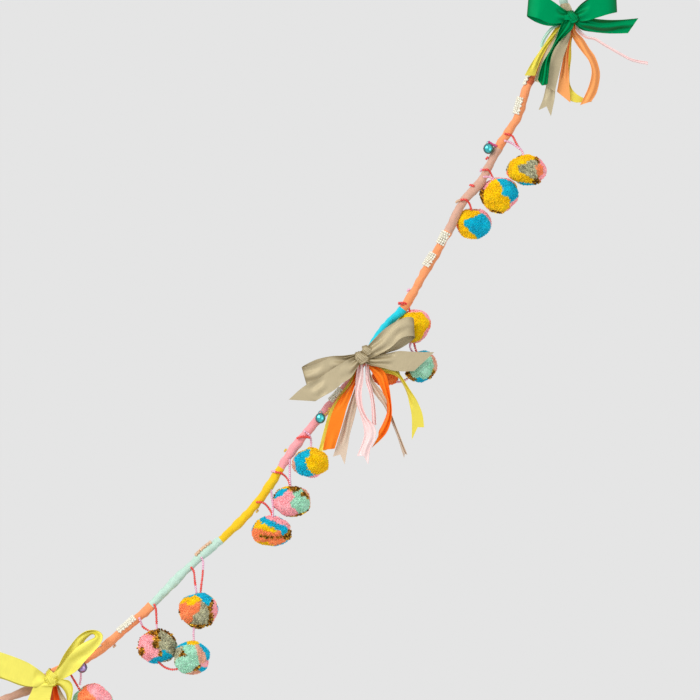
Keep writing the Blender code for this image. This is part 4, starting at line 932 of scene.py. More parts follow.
def yarn_finish(yarn: Yarn) -> Finish:
    """Return the matt finish of a wound yarn, with fibres that run round the rope.

    Args:
        yarn: The yarn.

    Returns:
        The finish.
    """
    return Finish(yarn.value, linear(COLOURS[yarn]), roughness=0.85, sheen=0.25, specular=0.2,
                  grain_scales=(2600.0, 420.0, 160.0), dark=0.84, light=1.08, bump=0.35,
                  bump_distance=0.00025, layer="cloth")


def satin_finish(satin: Satin, name: str, tint: tuple[int, int, int] | None = None,
                 rim: float = 0.88) -> Finish:
    """Return the glossy finish of one satin ribbon or bow, with threads that run across it.

    Args:
        satin: The satin.
        name: The name of the ribbon or bow.
        tint: Its own colour where it differs from its satin, or a paler copy of it as painted light, or a
            deeper copy as painted shade.
        rim: How much painted shade darkens it where it turns away from the view, as a share.

    Returns:
        The finish.
    """
    return Finish(f"{satin.value}_{name}", linear(tint or COLOURS[satin]), roughness=0.34, specular=0.7,
                  grain_scales=(900.0, 110.0, 70.0), dark=0.93, light=1.05, bump=0.08,
                  bump_distance=0.0001, layer="cloth", rim=rim, coloured_gloss_painted_shade=True)


WOOL_FINISH = Finish("wool_pile", linear(Wool.MUSTARD.value), roughness=0.95, sheen=0.15, specular=0.1,
                     grain_scales=(900.0, 900.0, 260.0), dark=0.88, light=1.3, bump=0.1,
                     colour_layer="wool")
GOLD_FINISH = Finish("gold_thread", linear(Wool.GOLD.value), roughness=0.3, metallic=0.8, specular=0.6,
                     grain_scales=(700.0, 700.0, 300.0), dark=0.7, light=1.3, bump=0.1,
                     colour_layer="wool")


def glass_finish(glass: Glass) -> Finish:
    """Return the glossy finish of the seed beads of one colour."""
    return Finish("bead_" + glass.name.lower(), linear(glass.value), roughness=0.22, coat=0.5,
                  grain_scales=(350.0, 350.0, 420.0), dark=0.78, light=1.2, bump=0.05)


def lacquer_finish(lacquer: Lacquer) -> Finish:
    """Return the lacquered metal finish of a bell, with painted reflections as broad light and dark
    mottling in its colour, and painted shade on the edges that turn away.
    """
    # Painted reflections: the colour runs from 0.6 to 1.5 times the lacquer; painted shade keeps a tenth of
    # it where the bell turns away.
    return Finish(lacquer.value, linear(COLOURS[lacquer]), roughness=0.24, metallic=0.8, coat=1.0,
                  grain_scales=(240.0, 240.0, 260.0), dark=0.6, light=1.5, bump=0.03, rim=0.1)


CORD_FINISH = Finish("cord_cream", linear((236, 231, 216)), roughness=0.85, sheen=0.2, specular=0.2,
                     grain_scales=(1500.0, 1500.0, 200.0), dark=0.82, light=1.06, bump=0.4)


def mesh_object(name: str, points: list, faces: list, sharp_angle: float = 0.8) -> bpy.types.Object:
    """Link a smooth mesh object with its place in its mesh.

    Args:
        name: The object's name.
        points: The points, in metres.
        faces: The faces, as point numbers.
        sharp_angle: The angle past which an edge is drawn sharp, in radians.

    Returns:
        The linked object.
    """
    mesh = bpy.data.meshes.new(name)
    mesh.from_pydata([tuple(point) for point in points], [], faces)
    mesh.update()
    mesh.shade_smooth()
    mesh.set_sharp_from_angle(angle=sharp_angle)
    obj = bpy.data.objects.new(name, mesh)
    bpy.context.collection.objects.link(obj)
    return obj


def object_from(name: str, work: bmesh.types.BMesh) -> bpy.types.Object:
    """Make a smooth object of the faces worked on, and free them.

    Args:
        name: The object's name.
        work: The faces.

    Returns:
        The object.
    """
    mesh = bpy.data.meshes.new(name)
    work.to_mesh(mesh)
    work.free()
    mesh.shade_smooth()
    obj = bpy.data.objects.new(name, mesh)
    bpy.context.collection.objects.link(obj)
    return obj


def tube_faces(rings: int, sides: int) -> list[tuple[int, ...]]:
    """Return the faces of a tube: its wall, ring by ring, and its two ends.

    Args:
        rings: How many rings of points it has.
        sides: How many points a ring has.

    Returns:
        The faces, as numbers of points.
    """
    faces = []
    for low in range(0, (rings - 1) * sides, sides):
        for side in range(sides):
            after = (side + 1) % sides
            faces.append((low + side, low + after, low + sides + after, low + sides + side))
    faces.append(tuple(reversed(range(sides))))
    faces.append(tuple(range((rings - 1) * sides, rings * sides)))
    return faces


def turned_faces(rings: int, sides: int) -> list[tuple[int, ...]]:
    """Return the faces of a turned shape: a point, rings of points from below, and a point.

    Args:
        rings: How many rings of points it has.
        sides: How many points a ring has.

    Returns:
        The faces, as numbers of points.
    """
    top = 1 + rings * sides
    faces = []
    for side in range(sides):
        after = (side + 1) % sides
        faces.append((0, 1 + after, 1 + side))
        faces.append((top, top - sides + side, top - sides + after))
        for low in range(1, top - sides, sides):
            faces.append((low + side, low + after, low + sides + after, low + sides + side))
    return faces


def read(items: bpy.types.bpy_prop_collection, name: str, width: int = 1,
         kind: type = np.float64) -> np.ndarray:
    """Read one property of a mesh's points, faces or corners.

    Args:
        items: The points, faces or corners.
        name: The property.
        width: How many numbers it has.
        kind: The kind of number.

    Returns:
        An array with one row, or one number, for each.
    """
    values = np.empty(len(items) * width, dtype=kind)
    items.foreach_get(name, values)
    return values.reshape(-1, width) if width > 1 else values


def lay_uv(mesh: bpy.types.Mesh, places: np.ndarray) -> None:
    """Write a UV layer named cloth.

    Args:
        mesh: The mesh.
        places: Two columns, in metres, one row a point.
    """
    layer = mesh.uv_layers.new(name="cloth")
    corners = read(mesh.loops, "vertex_index", kind=np.int32)
    layer.data.foreach_set("uv", places[corners].astype(np.float32).ravel())


def lay_wool(mesh: bpy.types.Mesh, colours: np.ndarray) -> None:
    """Write one wool colour for each point."""
    layer = mesh.attributes.new("wool", "FLOAT_COLOR", "POINT")
    layer.data.foreach_set("color", colours.astype(np.float32).ravel())


def join_meshes(name: str, parts: list[bpy.types.Object]) -> bpy.types.Object:
    """Join objects into the first one and name it.

    Args:
        name: The name.
        parts: The objects.

    Returns:
        The first object, with all their faces.
    """
    bpy.ops.object.select_all(action="DESELECT")
    for part in parts:
        part.select_set(True)
    bpy.context.view_layer.objects.active = parts[0]
    if len(parts) > 1:
        bpy.ops.object.join()
    parts[0].name = name
    parts[0].data.name = name
    return parts[0]


def settle(obj: bpy.types.Object, slot: str, *nodes: str) -> None:
    """Put a finished piece on the garland's body, and let it stand for its solids.

    Args:
        obj: The piece.
        slot: The name of a record's material slot; not used.
        nodes: The solids that it stands for.
    """
    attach(obj, "root")
    if nodes:
        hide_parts(*nodes)
    LOG.info("%s: %d faces", obj.name, len(obj.data.polygons))


class RopePath:
    """The middle line of the rope, with its length at each point."""

    def __init__(self) -> None:
        """Lay the line through the places of the route."""
        self.line = smooth_path([place(*way) for way in ROPE_ROUTE], ROPE_STEPS)
        self.runs = [0.0]
        for sooner, later in zip(self.line, self.line[1:]):
            self.runs.append(self.runs[-1] + (later - sooner).length)

    def at(self, run: float) -> Vector:
        """Return the point at a length along the line.

        Args:
            run: The length.

        Returns:
            The point.
        """
        index = min(max(bisect_left(self.runs, run), 1), len(self.runs) - 1)
        part = (run - self.runs[index - 1]) / (self.runs[index] - self.runs[index - 1])
        return self.line[index - 1].lerp(self.line[index], min(max(part, 0.0), 1.0))

    def run_at_down(self, down: float) -> float:
        """Return the length along the line where it passes a height in the frame.

        Args:
            down: The height, in units from the top.

        Returns:
            The length.
        """
        height = (HANG_DOWN - down) * PIXEL
        for index in range(1, len(self.line)):
            if self.line[index].z <= height:
                upper = self.line[index - 1].z
                part = (upper - height) / (upper - self.line[index].z)
                return self.runs[index - 1] + part * (self.runs[index] - self.runs[index - 1])
        return self.runs[-1]

    def width(self, run: float) -> float:
        """Return the rope's radius at a length along it, with its slow swellings."""
        return ROPE_RADIUS + ROPE_SWELL * math.sin(run / ROPE_SWELL_RUN)

    def around(self, run: float, angle: float, radius: float) -> Vector:
        """Return a point beside the line.

        Args:
            run: The length along the line.
            angle: The angle round it in radians, 0 to the viewer and a quarter turn to the upper left.
            radius: The distance from the line.

        Returns:
            The point.
        """
        ahead = (self.at(run + TANGENT_REACH) - self.at(run - TANGENT_REACH)).normalized()
        front = Vector((0.0, -1.0, 0.0))
        side = ahead.cross(front)
        return self.at(run) + (front * math.cos(angle) + side * math.sin(angle)) * radius

    def nearest(self, point: Vector) -> tuple[Vector, float]:
        """Return the line's nearest point and the length along it there."""
        index = min(range(len(self.line)), key=lambda item: (self.line[item] - point).length_squared)
        return self.line[index], self.runs[index]

    def depth_beside(self, across: float, down: float, radius: float, side: int) -> float:
        """Return the depth at which a ball just clears the rope.

        Args:
            across: The ball's place across the frame.
            down: The ball's place down the frame.
            radius: The ball's radius.
            side: -1 in front of the rope, 1 behind it.

        Returns:
            The depth in metres.
        """
        point = place(across, down)
        near, run = self.nearest(point)
        needed = radius + self.width(run) + GAP
        apart = (point - near).length
        return side * math.sqrt(max(needed * needed - apart * apart, 0.0))


@dataclass
class WoundRope:
    """The rope, wound with yarn in coloured stretches, and its two end loops."""

    path: RopePath
    pitch: float = 0.0013
    ridge: float = 0.0002
    lump: float = 0.0013
    lump_size: float = 0.0085
    rings_per_turn: int = 3
    sides: int = 16
    end_share: float = 0.55
    end_run: float = 0.004
    cord_radius: float = 0.0015
    cord_twist: float = 0.006
    loop_half: float = 0.0032
    loop_bulge: float = 0.014
    loop_tuck: float = 0.001
    loop_steps: int = 60
    lower_loop: float = 0.02

    def radius(self, run: float, angle: float, point: Vector) -> float:
        """Return the rope's radius with its lumps and the ridge of the yarn's turn there.

        Args:
            run: The length along the line.
            angle: The angle round it.
            point: The place on it.

        Returns:
            The radius.
        """
        turn = 2 * math.pi * run / self.pitch - angle
        lump = noise.noise(point / self.lump_size)
        return self.path.width(run) - self.ridge + self.ridge * math.cos(turn) + self.lump * lump

    def build(self) -> bpy.types.Object:
        """Build the rope as one mesh tube with a material for each yarn.

        Returns:
            The rope.
        """
        path = self.path
        total = path.runs[-1]
        count = int(total / (self.pitch / self.rings_per_turn))
        points, places = [], []
        runs = [total * index / count for index in range(count + 1)]
        for run in runs:
            middle = path.at(run)
            taper = min(1.0, self.end_share + min(run, total - run) / self.end_run)
            for side in range(self.sides):
                angle = 2 * math.pi * side / self.sides
                rough = path.around(run, angle, ROPE_RADIUS)
                radius = self.radius(run, angle, rough) * taper
                points.append(middle + (rough - middle).normalized() * radius)
                places.append((run, angle * ROPE_RADIUS))
        rope = mesh_object("rope", points, tube_faces(count + 1, self.sides), TUBE_SHARP)
        lay_uv(rope.data, np.array(places))
        self.dress(rope, runs)
        return rope

    def dress(self, rope: bpy.types.Object, runs: list[float]) -> None:
        """Give each ring of faces the yarn of its stretch.

        Args:
            rope: The rope.
            runs: The length along the rope at each ring.
        """
        yarns = list(Yarn)
        for yarn in yarns:
            rope.data.materials.append(yarn_finish(yarn).material())
        ends = [self.path.run_at_down(stretch.bottom) for stretch in ROPE_STRETCHES]
        numbers = np.zeros(len(rope.data.polygons), dtype=np.int32)
        for ring in range(len(runs) - 1):
            stretch = ROPE_STRETCHES[min(bisect_left(ends, runs[ring]), len(ends) - 1)]
            numbers[ring * self.sides:(ring + 1) * self.sides] = yarns.index(stretch.yarn)
        numbers[-1] = yarns.index(ROPE_STRETCHES[-1].yarn)
        rope.data.polygons.foreach_set("material_index", numbers)
        rope.data.update()

    def build_loop(self, name: str, tip: Vector, along: Vector, length: float) -> bpy.types.Object:
        """Build one end loop as a twisted cord.

        Args:
            name: The loop's name.
            tip: The rope's end.
            along: The direction that the loop runs on in.
            length: How far the loop reaches.

        Returns:
            The loop.
        """
        aside = Vector((-along.z, 0.0, along.x))
        line = []
        for step in range(self.loop_steps + 1):
            angle = math.pi * (step / self.loop_steps - 0.5)
            reach = length * math.cos(angle) - self.loop_tuck
            spread = math.sin(angle) * (self.loop_half + self.loop_bulge * math.cos(angle) ** 2)
            line.append(tip + along * reach + aside * spread)
        return twisted_cord(name, line, self.cord_radius, self.cord_twist)

    def declare(self, rope: bpy.types.Object, loops: list[bpy.types.Object]) -> None:
        """Put the rope and its loops on the garland's body, give the loops their finish, and hide the
        solids that they stand for.

        Args:
            rope: The rope.
            loops: Its loops.
        """
        nodes = [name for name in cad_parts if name.startswith("rope_")]
        settle(rope, Yarn.PEACH.value, *nodes)
        for loop in loops:
            loop.data.materials.append(CORD_FINISH.material())
            settle(loop, "cord_cream", loop.name.replace("cord_loop", "end_loop"))


def twisted_cord(name: str, line: list[Vector], radius: float, pitch: float) -> bpy.types.Object:
    """Build a cord of three twisted strands along a line.

    Args:
        name: The cord's name.
        line: The points of its middle line.
        radius: The radius of the whole cord.
        pitch: The length of one twist.

    Returns:
        The cord, as one mesh.
    """
    sides, strands, valley = 15, 3, 0.72
    points = []
    run = 0.0
    for index, middle in enumerate(line):
        ahead = (line[min(index + 1, len(line) - 1)] - line[max(index - 1, 0)]).normalized()
        front = Vector((0.0, -1.0, 0.0))
        side = ahead.cross(front).normalized()
        run += (middle - line[max(index - 1, 0)]).length
        for step in range(sides):
            angle = 2 * math.pi * step / sides
            lobe = abs(math.cos(strands * (angle + 2 * math.pi * run / pitch) / 2))
            reach = radius * (valley + (1.0 - valley) * lobe)
            points.append(middle + (front * math.cos(angle) + side * math.sin(angle)) * reach)
    return mesh_object(name, points, tube_faces(len(line), sides), TUBE_SHARP)


@dataclass
class BeadMaker:
    """Strings seed beads along lines with Geometry Nodes."""

    pitch: float = 0.0025
    radius: float = 0.00168
    sides: int = 8
    tree: Tree = field(init=False)
    bead: bpy.types.Object = field(init=False)

    def __post_init__(self) -> None:
        """Make the bead and the node tree that strings it."""
        self.bead = self.build_bead()
        self.tree = self.build_tree()

    def build_bead(self) -> bpy.types.Object:
        """Build one squat round bead, closed, with its hole along Z as a dimple.

        Returns:
            The bead that the tree repeats.
        """
        profile = ((0.62, -0.72), (0.96, -0.38), (0.96, 0.38), (0.62, 0.72))
        hole = Vector((0.0, 0.0, 0.62))
        points = [-hole * self.radius]
        for girth, height in profile:
            for side in range(self.sides):
                angle = 2 * math.pi * side / self.sides
                rim = Vector((math.cos(angle) * girth, math.sin(angle) * girth, height))
                points.append(rim * self.radius)
        points.append(hole * self.radius)
        return mesh_object("one_bead", points, turned_faces(len(profile), self.sides))

    def build_tree(self) -> Tree:
        """Build the tree that puts beads on a line at a pitch, turned along it.

        Returns:
            The tree.
        """
        tree = Tree(bpy.data.node_groups.new("bead_string", "GeometryNodeTree"))
        tree.group.is_modifier = True
        tree.socket("Geometry", "Geometry")
        tree.socket("Bead", "Object")
        tree.socket("Pitch", "Float", value=self.pitch)
        tree.socket("Smallest", "Float", value=0.88)
        tree.socket("Largest", "Float", value=1.06)
        tree.socket("Seed", "Int", value=1)
        tree.socket("Material", "Material")
        tree.socket("Geometry", "Geometry", "OUTPUT")
        given = tree.add("NodeGroupInput").outputs
        curve = tree.add("GeometryNodeMeshToCurve", {0: given["Geometry"]})
        spaced = tree.add("GeometryNodeResampleCurve", {
            "Curve": curve.outputs[0], "Length": given["Pitch"]}, mode="LENGTH")
        tangent = tree.add("GeometryNodeInputTangent")
        turned = tree.add("FunctionNodeAlignRotationToVector", {"Vector": tangent.outputs[0]}, axis="Z")
        size = tree.add("FunctionNodeRandomValue", {
            2: given["Smallest"], 3: given["Largest"], "Seed": given["Seed"]}, data_type="FLOAT")
        tree.repeat(given, "Bead", spaced.outputs[0], turned.outputs[0], size.outputs[1])
        return tree

    def string(self, name: str, line: list[Vector], glasses: tuple[Glass, Glass], share: float,
               seed: int) -> bpy.types.Object:
        """String beads of one or two colours along a line.

        Args:
            name: The name of the piece.
            line: The points that the thread follows.
            glasses: The colours of the first and of the last beads.
            share: How much of the line has the first colour.
            seed: The seed for their small differences in size.

        Returns:
            The beads, as one plain mesh.
        """
        mesh = bpy.data.meshes.new(name)
        edges = [(index, index + 1) for index in range(len(line) - 1)]
        mesh.from_pydata([tuple(point) for point in line], edges, [])
        obj = bpy.data.objects.new(name, mesh)
        bpy.context.collection.objects.link(obj)
        values = {"Bead": self.bead, "Pitch": self.pitch, "Seed": seed,
                  "Material": glass_finish(glasses[0]).material()}
        faces = len(self.bead.data.polygons)
        grow(obj, self.tree, values)
        obj.data.shade_smooth()
        obj.data.materials.clear()
        for glass in glasses:
            obj.data.materials.append(glass_finish(glass).material())
        beads = np.arange(len(obj.data.polygons)) // faces
        obj.data.polygons.foreach_set("material_index", (beads > share * beads[-1]).astype(np.int32))
        return obj

    def clear_up(self) -> None:
        """Remove the bead that the trees repeat."""
        bpy.data.objects.remove(self.bead, do_unlink=True)


def grow(obj: bpy.types.Object, tree: Tree, values: dict[str, object]) -> None:
    """Run a Geometry Nodes tree on an object, and keep its result as the object's plain mesh.

    Args:
        obj: The object.
        tree: The tree.
        values: The values of the tree's inputs, by name.
    """
    modifier = obj.modifiers.new(tree.group.name, "NODES")
    modifier.node_group = tree.group
    for name, value in values.items():
        modifier[tree.identifier(name)] = value
    obj.update_tag()
    graph = bpy.context.evaluated_depsgraph_get()
    graph.update()
    mesh = bpy.data.meshes.new_from_object(obj.evaluated_get(graph))
    mesh.name = obj.name
    obj.modifiers.remove(modifier)
    obj.data = mesh


@dataclass
class Cloth:
    """A ribbon's shape: a grid of points made from rows, and the closed sheet round it."""

    rows: tuple[Row, ...]
    width: float
    steps: int = 6
    columns: int = 19
    waves: float = 1.4
    thickness: float = 0.0006
    pleat_share: float = 0.7
    deepest: float = 0.0026
    crease: float = 0.25
    ripple: float = 0.0003
    drift: float = 0.9
    drift_scale: float = 14.0
    ripple_scale: float = 110.0
    crease_shift: float = 0.8
    flat_length: float = 0.0

    def grid(self) -> list[list[Vector]]:
        """Return the middle surface: smooth along the ribbon and pleated across it.

        Returns:
            Rows of points across the ribbon.
        """
        outer = smooth_path([place(row.outer_across, row.outer_down) for row in self.rows], self.steps)
        inner = smooth_path([place(row.inner_across, row.inner_down) for row in self.rows], self.steps)
        depths = smooth_path([Vector((row.depth_mm * MM, row.lean, 0.0)) for row in self.rows], self.steps)
        grid = []
        for left, right, (depth, lean, _) in zip(outer, inner, depths):
            grid.append(self.cross_row(left, right, depth, lean))
        self.flat_length = path_length([line[self.columns // 2] for line in grid])
        return grid

    def cross_row(self, left: Vector, right: Vector, depth: float, lean: float) -> list[Vector]:
        """Return one row of points across the ribbon.

        Args:
            left: The outer edge as it is seen.
            right: The inner edge as it is seen.
            depth: The depth of the ribbon's middle there.
            lean: How far the ribbon turns its face to the side.

        Returns:
            The points from edge to edge.
        """
        seen = (right - left).length
        spare = max(self.width - seen, 0.0)
        chord = seen + abs(lean) * spare
        slope = math.copysign(math.sqrt(max(chord * chord - seen * seen, 0.0)), lean) if lean else 0.0
        pleat = chord / (math.pi * self.waves) * math.sqrt(2 * max(self.width / chord - 1.0, 0.0))
        pleat = min(pleat * self.pleat_share, self.deepest)
        phase = self.drift * math.pi * noise.noise((left + right) * self.drift_scale)
        line = []
        for column in range(self.columns):
            share = column / (self.columns - 1)
            turn = 2 * math.pi * self.waves * share + phase
            fold = math.sin(turn) + self.crease * math.sin(turn / 2 + self.crease_shift)
            point = left.lerp(right, share)
            point.y = depth + slope * (share - 0.5) + pleat * fold
            point.y += self.ripple * noise.noise(point * self.ripple_scale)
            line.append(point)
        return line

    def notch(self, grid: list[list[Vector]], depth: float, at_start: bool) -> None:
        """Cut a swallow tail into an end, or draw it out to a point.

        Args:
            grid: The ribbon's points, changed in place.
            depth: How deep the tail is cut in millimetres; below 0 the end runs out to a point.
            at_start: True for the first row, False for the last.
        """
        reach = self.steps
        rows = range(reach) if at_start else range(len(grid) - 1, len(grid) - 1 - reach, -1)
        inner = grid[reach] if at_start else grid[-1 - reach]
        middle = (self.columns - 1) / 2
        outermost = [point.copy() for point in (grid[0] if at_start else grid[-1])]
        for number, row in enumerate(rows):
            for column in range(self.columns):
                share = 1.0 - abs(column - middle) / middle
                inward = (inner[column] - outermost[column]).normalized()
                fade = 1.0 - number / reach
                grid[row][column] = grid[row][column] + inward * (depth * MM * share * fade)

    def sheet(self, name: str, grid: list[list[Vector]]) -> bpy.types.Object:
        """Return a closed thin sheet round a grid, with a UV layer in metres.

        Args:
            name: The object's name.
            grid: The ribbon's points.

        Returns:
            The sheet.
        """
        rows, columns = len(grid), self.columns
        front, back, places = [], [], []
        run = 0.0
        for row in range(rows):
            if row:
                run += (grid[row][columns // 2] - grid[row - 1][columns // 2]).length
            for column in range(columns):
                along = grid[min(row + 1, rows - 1)][column] - grid[max(row - 1, 0)][column]
                side = grid[row][min(column + 1, columns - 1)] - grid[row][max(column - 1, 0)]
                normal = along.cross(side).normalized() * (self.thickness / 2)
                front.append(grid[row][column] + normal)
                back.append(grid[row][column] - normal)
                places.append((run, self.width * column / (columns - 1)))
        size = rows * columns
        faces = []
        for row in range(rows - 1):
            for column in range(columns - 1):
                corner = row * columns + column
                ring = (corner, corner + 1, corner + columns + 1, corner + columns)
                faces.append(tuple(reversed(ring)))
                faces.append(tuple(size + item for item in ring))
        rim = list(range(columns))
        rim += [row * columns + columns - 1 for row in range(1, rows)]
        rim += [(rows - 1) * columns + column for column in range(columns - 2, -1, -1)]
        rim += [row * columns for row in range(rows - 2, 0, -1)]
        for index, item in enumerate(rim):
            after = rim[(index + 1) % len(rim)]
            faces.append((item, after, size + after, size + item))
        obj = mesh_object(name, front + back, faces, 1.0)
        lay_uv(obj.data, np.array(places + places))
        turn_outwards(obj.data)
        return obj


def turn_outwards(mesh: bpy.types.Mesh) -> None:
    """Turn a closed mesh's faces outwards.

    Args:
        mesh: The mesh.
    """
    work = bmesh.new()
    work.from_mesh(mesh)
    if work.calc_volume(signed=True) < 0:
        bmesh.ops.reverse_faces(work, faces=work.faces)
        work.to_mesh(mesh)
    work.free()


@dataclass
class Bunch:
    """The ribbons that hang from the knots, and the width under which one counts as a cord."""

    cuts: tuple[RibbonCut, ...]
    narrow: float = 0.01

    def build(self) -> None:
        """Build and dress each ribbon, put it on the garland's body and hide the solid that it stands for.
        """
        for cut in self.cuts:
            cloth = Cloth(cut.rows, cut.width)
            grid = cloth.grid()
            for notch, at_start in zip(cut.notches, (True, False)):
                if notch:
                    cloth.notch(grid, notch, at_start)
            obj = cloth.sheet("ribbon_" + cut.name, grid)
            obj.data.materials.append(satin_finish(cut.satin, cut.name, cut.tint).material())
            settle(obj, cut.satin.value, cut.name)


@dataclass
class Bow:
    """A bow tied round the rope: loops, tails, knot and the band behind it."""

    cut: BowCut
    width: float = 0.025
    tied_length: float = 0.1
    knot_halves: tuple[float, float, float] = (0.0072, 0.0048, 0.0085)
    band_across: float = 0.0088
    band_high: float = 0.0034
    band_thick: float = 0.0005
    band_front: float = -0.0262
    band_crown: float = 0.0003
    second_size: float = 0.8
    core_share: float = 0.9
    fold_arch: float = 104.0
    fold_reach: float = 0.0066
    fold_deep: float = 0.0046
    fold_round: float = 0.0125
    fold_crown: float = 0.0011
    fold_pleat: float = 0.00045
    fold_pucker: float = 0.32

    def build(self) -> None:
        parts = [*self.build_knot(), self.build_band()]
        spent = self.tied_length
        for number, strip in enumerate(self.cut.strips):
            cloth = Cloth(strip.rows, self.width, steps=8, columns=25, waves=self.cut.waves, deepest=0.0018)
            grid = cloth.grid()
            if strip.notch:
                cloth.notch(grid, strip.notch, False)
            parts.append(cloth.sheet(f"strip_{number}", grid))
            spent += cloth.flat_length
        bow = join_meshes("satin_" + self.cut.name, parts)
        bow.data.materials.clear()
        # Painted shade: the bow's colour deepens and darkens where it turns away from the view, more than
        # on the ribbons.
        bow.data.materials.append(satin_finish(self.cut.satin, self.cut.name, rim=0.5).material())
        settle(bow, self.cut.satin.value, self.cut.name)

    def build_knot(self) -> list[bpy.types.Object]:
        """Build the knot: a rounded core with folds of the ribbon laid over it, crossing.

        Returns:
            The core and its folds.
        """
        parts = self.build_lump(self.cut.knot, 1.0)
        if self.cut.second_knot:
            parts += self.build_lump(self.cut.second_knot, self.second_size)
        return parts

    def build_lump(self, spot: tuple[float, float, float], size: float) -> list[bpy.types.Object]:
        """Build one lump of a knot.

        Args:
            spot: Its place in the frame and its depth in millimetres.
            size: Its size as a share of a whole knot.

        Returns:
            The core and its folds.
        """
        centre = place(spot[0], spot[1], spot[2] * MM)
        work = bmesh.new()
        bmesh.ops.create_uvsphere(work, u_segments=32, v_segments=24, radius=1.0)
        for vert in work.verts:
            vert.co = centre + vert.co * Vector(self.knot_halves) * (self.core_share * size)
        core = object_from("knot", work)
        lay_uv(core.data, read(core.data.vertices, "co", 3)[:, (2, 0)])
        parts = [core]
        for number, fold in enumerate(KNOT_FOLDS):
            parts.append(self.build_fold(f"fold_{number}", centre, fold, size))
        return parts

    def build_fold(self, name: str, centre: Vector, fold: Fold, size: float) -> bpy.types.Object:
        """Build one fold of ribbon that arches over the knot.

        Args:
            name: The object's name.
            centre: The knot's centre.
            fold: The fold's direction, offset and sizes.
            size: The knot's size as a share of a whole knot.

        Returns:
            The fold as a closed sheet.
        """
        turn = math.radians(fold.turn_degrees + self.cut.crease_turn)
        along = Vector((math.cos(turn), 0.0, math.sin(turn)))
        aside = Vector((-math.sin(turn), 0.0, math.cos(turn)))
        front = Vector((0.0, -1.0, 0.0))
        cloth = Cloth((), fold.width, columns=17)
        grid = []
        steps = 24
        for step in range(steps + 1):
            angle = math.radians(self.fold_arch * (2 * step / steps - 1))
            line = []
            for column in range(cloth.columns):
                share = 2 * column / (cloth.columns - 1) - 1
                pucker = 1.0 - self.fold_pucker * abs(math.sin(angle)) ** 3
                side = fold.offset + fold.width / 2 * share * pucker
                wave = math.sin(fold.pleats * math.pi * share + 2.0 * math.sin(angle))
                crown = fold.lift + self.fold_crown * math.cos(share * math.pi / 2)
                crown += self.fold_pleat * wave
                bend = math.sqrt(max(1.0 - (side / self.fold_round) ** 2, 0.2))
                reach = (self.fold_reach + crown) * bend
                deep = self.fold_deep + crown
                offset = along * (math.sin(angle) * reach) + aside * side + front * (math.cos(angle) * deep)
                line.append(centre + offset * size)
            grid.append(line)
        return cloth.sheet(name, grid)

    def build_band(self) -> bpy.types.Object:
        """Build the band that ties the bow round the rope.

        Returns:
            The band.
        """
        turn = math.radians(self.cut.turn)
        across = Vector((math.cos(turn), 0.0, math.sin(turn)))
        along = Vector((-math.sin(turn), 0.0, math.cos(turn)))
        back = ROPE_RADIUS + ROPE_SWELL + GAP + self.band_thick
        middle = place(*self.cut.band, (back + self.band_front) / 2)
        reach = (back - self.band_front) / 2
        square, steps, columns = 2 / 3, 64, 7
        points, places = [], []
        for layer in (1, -1):
            for step in range(steps):
                angle = 2 * math.pi * step / steps
                wide = math.copysign(abs(math.cos(angle)) ** square, math.cos(angle))
                deep = math.copysign(abs(math.sin(angle)) ** square, math.sin(angle))
                for column in range(columns):
                    share = 2 * column / (columns - 1) - 1
                    crown = self.band_crown * math.cos(3 * math.pi * share) if layer == 1 else 0.0
                    grow = layer * self.band_thick + crown
                    side = across * (wide * (self.band_across + grow))
                    depth = Vector((0.0, deep * (reach + grow), 0.0))
                    points.append(middle + side + depth + along * (share * self.band_high))
                    places.append((angle * self.band_across, share * self.band_high))
        size = steps * columns
        faces = []
        for step in range(steps):
            low, high = step * columns, (step + 1) % steps * columns
            for column in range(columns - 1):
                ring = (low + column, low + column + 1, high + column + 1, high + column)
                faces.append(ring)
                faces.append(tuple(size + item for item in reversed(ring)))
            for edge, flip in ((0, False), (columns - 1, True)):
                ring = (low + edge, high + edge, size + high + edge, size + low + edge)
                faces.append(tuple(reversed(ring)) if flip else ring)
        obj = mesh_object("band", points, faces, 1.0)
        lay_uv(obj.data, np.array(places))
        turn_outwards(obj.data)
        return obj


